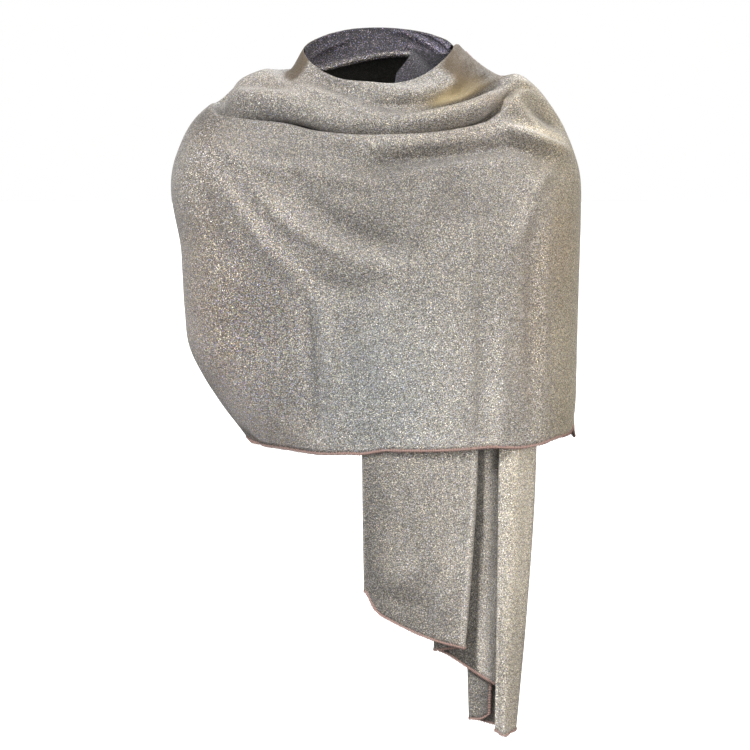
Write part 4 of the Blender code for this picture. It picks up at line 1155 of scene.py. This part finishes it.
def sewn_edge(name, paths, cloth, material):
    """The sewn edge along these paths, as a plain mesh."""
    points, facings, edges = [], [], []
    for line, facing in paths:
        start = len(points)
        points.extend(line.tolist())
        facings.extend(facing.tolist())
        edges.extend((start + i, start + i + 1) for i in range(len(line) - 1))
    mesh = bpy.data.meshes.new(name)
    mesh.from_pydata(points, edges, [])
    layer = mesh.attributes.new("facing", "FLOAT_VECTOR", "POINT")
    layer.data.foreach_set("vector", np.array(facings, np.float32).ravel())
    made = bpy.data.objects.new(name, mesh)
    bpy.context.scene.collection.objects.link(made)
    stitch = bpy.data.objects.new("stitch", stitch_mesh(cloth))
    bpy.context.scene.collection.objects.link(stitch)
    tree = sewn_edge_tree(stitch, material)
    nodes = made.modifiers.new("sewn edge", "NODES")
    nodes.node_group = tree
    sockets = {item.name: item.identifier for item in tree.interface.items_tree
               if item.item_type == "SOCKET" and item.in_out == "INPUT"}
    nodes[sockets["Stitch Pitch"]] = cloth.stitch_pitch
    nodes[sockets["Core Radius"]] = cloth.edge_width * 0.25
    plain_mesh(made)
    made.data.shade_smooth()
    bpy.data.objects.remove(stitch)
    return made


def settle(piece, nodes=()):
    """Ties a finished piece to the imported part."""
    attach(piece, "root")
    if nodes:
        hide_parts(*nodes)


def shared_material(name, make):
    found = bpy.data.materials.get(name)
    return found or make(bpy.context.scene.shawl_cloth)


def length(name, description, default, low, high, digits=4):
    """A size in metres that the panel shows."""
    return bpy.props.FloatProperty(name=name, description=description, default=default, min=low, max=high,
                                   unit="LENGTH", precision=digits)


def strength(name, description, default):
    """The strength of a light."""
    return bpy.props.FloatProperty(name=name, description=description, default=default, min=0.0, max=20.0)


def colour(name, description, default):
    return bpy.props.FloatVectorProperty(name=name, description=description, default=default, min=0.0,
                                         max=1.0, subtype="COLOR")


def turning(name, description, degrees):
    """An angle, given in degrees."""
    return bpy.props.FloatProperty(name=name, description=description, default=math.radians(degrees),
                                   unit="ROTATION", subtype="ANGLE")


class ShawlCloth(bpy.types.PropertyGroup):
    """Sizes and colours of the cloth and its sewn edge."""

    thickness: length("Thickness", "How thick the mesh cloth is", 0.0008, 0.0003, 0.002)
    speck_size: length("Speck Size", "How far apart the glittering specks are", 0.00064, 0.0004, 0.01)
    stitch_size: length("Knit Size", "Width of one column of the knit", 0.0011, 0.0005, 0.01)
    stitch_pitch: length("Stitch Pitch", "How far apart the turns of edge thread are", 0.0019, 0.001, 0.01)
    edge_width: length("Edge Width", "How much of the edge the thread covers", 0.0034, 0.001, 0.01)
    thread_size: length("Thread Size", "How thick the edge thread is", 0.0006, 0.0002, 0.002)
    cloth_colour: colour("Cloth Colour", "Mean colour of the glitter mesh", (0.335, 0.322, 0.291))
    satin_colour: colour("Satin Colour", "Colour of the cloth where it glitters least", (0.122, 0.088, 0.052))
    edge_colour: colour("Edge Colour", "Colour of the thread along the edges", (0.62, 0.36, 0.31))


class ShawlStage(bpy.types.PropertyGroup):
    """Sizes and strengths of the stage."""

    floor_drop: length("Floor Drop", "How far the floor lies below the shoulders", 1.42, 0.8, 3.0, 2)
    camera_distance: length("Camera Distance", "From the camera to the shawl's middle", 2.2, 1.0, 10.0, 2)
    camera_lift: turning("Camera Elevation", "How far above level the camera looks from", 7.0)
    frame_width: length("Frame Width", "How much the picture takes in at the shawl", 0.8625, 0.2, 5.0)
    key_strength: strength("Main Light", "Strength of the soft main light, from the upper left", 3.0)
    key_turn: turning("Main Light Turn", "How far the main light stands to the left of the front", 36.0)
    key_lift: turning("Main Light Elevation", "How high the main light stands", 47.0)
    fill_strength: strength("Fill Light", "Strength of the warm light from the right", 1.7)
    sky_strength: strength("Surroundings", "Strength of the even white light all round", 1.0)


class SHAWL_OT_wound_cloth(bpy.types.Operator):
    """Make the cloth round the body: over the shoulders, round the back and across the front"""

    bl_idname = "shawl.wound_cloth"
    bl_label = "Wound Cloth"

    def execute(self, context):
        cloth = context.scene.shawl_cloth
        ends = (UNDER_STARTS, LEFT_SIDE, BACK_ENDS, FRONT_ENDS, 360.0 + END_TOP_ANGLE)
        turns = joined_runs(ends, STRETCH_COLUMNS)
        shares = joined_runs((0.0, ROLLS_END, LAST_RING), (ROLL_ROWS, LOWER_ROWS)) / LAST_RING
        turn, ring = wound_grid(turns, shares)
        points = wound_point(turn, ring)
        made = cloth_sheet("wound_cloth", points, cloth.thickness, -1.0,
                           [shared_material("glitter mesh", glitter_mesh_material),
                            shared_material("mesh reverse", reverse_material)],
                           wound_marks(turn, ring, points))
        settle(made, ("front_wrap", "back_wrap", "outer_end", "inner_shoulder"))
        hem_from = int(np.searchsorted(turns, LEFT_SIDE + 2.0))
        end_from = int(np.searchsorted(turns, FRONT_ENDS + 1.0))
        paths = [edge_path(points[-1, hem_from:], points[-2, hem_from:]),
                 edge_path(points[::-1, -1], points[::-1, -2]),
                 edge_path(points[0, end_from:][::-1], points[1, end_from:][::-1])]
        edge = sewn_edge("wound_edge", paths, cloth, shared_material("edge thread", edge_thread_material))
        settle(edge)
        return {"FINISHED"}


class SHAWL_OT_nape_fold(bpy.types.Operator):
    """Make the edge that is turned in at the nape and seen inside the neck"""

    bl_idname = "shawl.nape_fold"
    bl_label = "Nape Fold"

    def execute(self, context):
        cloth = context.scene.shawl_cloth
        share_round, share_down = np.meshgrid(np.linspace(0, 1, 110), np.linspace(0, 1, 46))
        points = nape_point(share_round, share_down)
        made = cloth_sheet("nape_cloth", points, cloth.thickness, -1.0,
                           [shared_material("glitter mesh", glitter_mesh_material)],
                           nape_marks(share_round, share_down))
        settle(made, ("nape_fold",))
        return {"FINISHED"}


class SHAWL_OT_pleated_end(bpy.types.Operator):
    """Make the end that hangs in pleats below the front"""

    bl_idname = "shawl.pleated_end"
    bl_label = "Pleated End"

    def execute(self, context):
        cloth = context.scene.shawl_cloth
        row, share, bend = pleat_samples()
        points = pleat_point(row, share, bend, np.linspace(0.0, 1.0, PLEAT_ROWS)[:, None])
        made = cloth_sheet("pleated_end", points, cloth.thickness, 0.0,
                           [shared_material("glitter mesh", glitter_mesh_material)],
                           pleat_marks(row, bend, points))
        settle(made, ("inner_end",))
        paths = [edge_path(points[:, 0], points[:, 1]),
                 edge_path(points[-1], points[-2]),
                 edge_path(points[::-1, -1], points[::-1, -2])]
        edge = sewn_edge("pleated_edge", paths, cloth, shared_material("edge thread", edge_thread_material))
        settle(edge)
        return {"FINISHED"}


def soft_sun(name, strength, turn, lift, softness, colour=(1.0, 1.0, 1.0)):
    """An even light from a turn left of the front and a lift above level."""
    light = bpy.data.lights.new(name, "SUN")
    light.energy, light.angle, light.color = strength, softness, colour
    made = bpy.data.objects.new(name, light)
    away = Vector((-math.sin(turn) * math.cos(lift), -math.cos(turn) * math.cos(lift), math.sin(lift)))
    made.location = away * 2.0
    made.rotation_euler = away.to_track_quat("Z", "Y").to_euler()
    bpy.context.scene.collection.objects.link(made)


def white_surroundings(strength):
    """An even white light all round, which is darker below level and a little darker above."""
    world = bpy.data.worlds.new("white surroundings")
    world.use_nodes = True
    nodes, links = world.node_tree.nodes, world.node_tree.links
    direction = nodes.new("ShaderNodeTexCoord")
    split = nodes.new("ShaderNodeSeparateXYZ")
    ramp = nodes.new("ShaderNodeValToRGB")
    height = nodes.new("ShaderNodeMapRange")
    height.inputs["From Min"].default_value = -1.0
    links.new(direction.outputs["Generated"], split.inputs[0])
    links.new(split.outputs["Z"], height.inputs["Value"])
    links.new(height.outputs[0], ramp.inputs[0])
    set_stops(ramp.color_ramp, [(place, grey(value)) for place, value in SKY_STOPS])
    background = nodes["Background"]
    background.inputs["Strength"].default_value = strength
    links.new(ramp.outputs[0], background.inputs["Color"])
    return world


def place_camera(scene, stage):
    """A camera at the photograph's angle, which looks at the middle of the shawl."""
    camera = bpy.data.cameras.new("camera")
    camera.sensor_width = 36.0
    camera.lens = camera.sensor_width * stage.camera_distance / stage.frame_width
    camera.dof.use_dof = False
    holder = bpy.data.objects.new("camera", camera)
    back = Vector((0.0, -math.cos(stage.camera_lift), math.sin(stage.camera_lift)))
    holder.location = Vector((0.0, 0.0, MIDDLE_Z)) + back * stage.camera_distance
    holder.rotation_euler = (-back).to_track_quat("-Z", "Y").to_euler()
    scene.collection.objects.link(holder)
    scene.camera = holder


class SHAWL_OT_stage(bpy.types.Operator):
    """Make the floor, the soft lights and the camera"""

    bl_idname = "shawl.stage"
    bl_label = "Stage"

    def execute(self, context):
        stage = context.scene.shawl_stage
        mesh = bpy.data.meshes.new("floor")
        corners = [(FLOOR_HALF * x, FLOOR_HALF * y, -stage.floor_drop)
                   for x, y in ((-1, -1), (1, -1), (1, 1), (-1, 1))]
        mesh.from_pydata(corners, [], [(0, 1, 2, 3)])
        mesh.materials.append(floor_material())
        floor = bpy.data.objects.new("floor", mesh)
        context.scene.collection.objects.link(floor)
        floor.visible_diffuse = False
        floor.visible_glossy = False

        soft_sun("main light", stage.key_strength, stage.key_turn, stage.key_lift,
                 softness=math.radians(16.0))
        soft_sun("warm light", stage.fill_strength, turn=math.radians(-58.0), lift=math.radians(16.0),
                 softness=math.radians(40.0), colour=(1.0, 0.94, 0.84))
        soft_sun("back light", stage.key_strength * BACK_LIGHT_SHARE, turn=math.radians(200.0),
                 lift=math.radians(40.0), softness=math.radians(40.0))

        context.scene.world = white_surroundings(stage.sky_strength)
        context.scene.view_settings.view_transform = "Standard"
        place_camera(context.scene, stage)
        return {"FINISHED"}


class SHAWL_PT_panel(bpy.types.Panel):
    """The shawl's pieces and their sizes"""

    bl_idname = "SHAWL_PT_panel"
    bl_label = "Mesh Shawl"
    bl_space_type = "VIEW_3D"
    bl_region_type = "UI"
    bl_category = "Shawl"

    def draw(self, context):
        layout = self.layout
        for group in (context.scene.shawl_cloth, context.scene.shawl_stage):
            box = layout.box()
            for name in group.bl_rna.properties.keys():
                if name not in ("rna_type", "name"):
                    box.prop(group, name)
        for operator in OPERATORS:
            layout.operator(operator.bl_idname)


OPERATORS = (SHAWL_OT_wound_cloth, SHAWL_OT_nape_fold, SHAWL_OT_pleated_end, SHAWL_OT_stage)
CLASSES = (ShawlCloth, ShawlStage, *OPERATORS, SHAWL_PT_panel)


def register():
    for made in CLASSES:
        bpy.utils.register_class(made)
    bpy.types.Scene.shawl_cloth = bpy.props.PointerProperty(type=ShawlCloth)
    bpy.types.Scene.shawl_stage = bpy.props.PointerProperty(type=ShawlStage)


def unregister():
    del bpy.types.Scene.shawl_cloth
    del bpy.types.Scene.shawl_stage
    for made in reversed(CLASSES):
        bpy.utils.unregister_class(made)


def main():
    register()
    bpy.ops.shawl.wound_cloth()
    bpy.ops.shawl.nape_fold()
    bpy.ops.shawl.pleated_end()
    bpy.ops.shawl.stage()


if __name__ == "__main__":
    main()
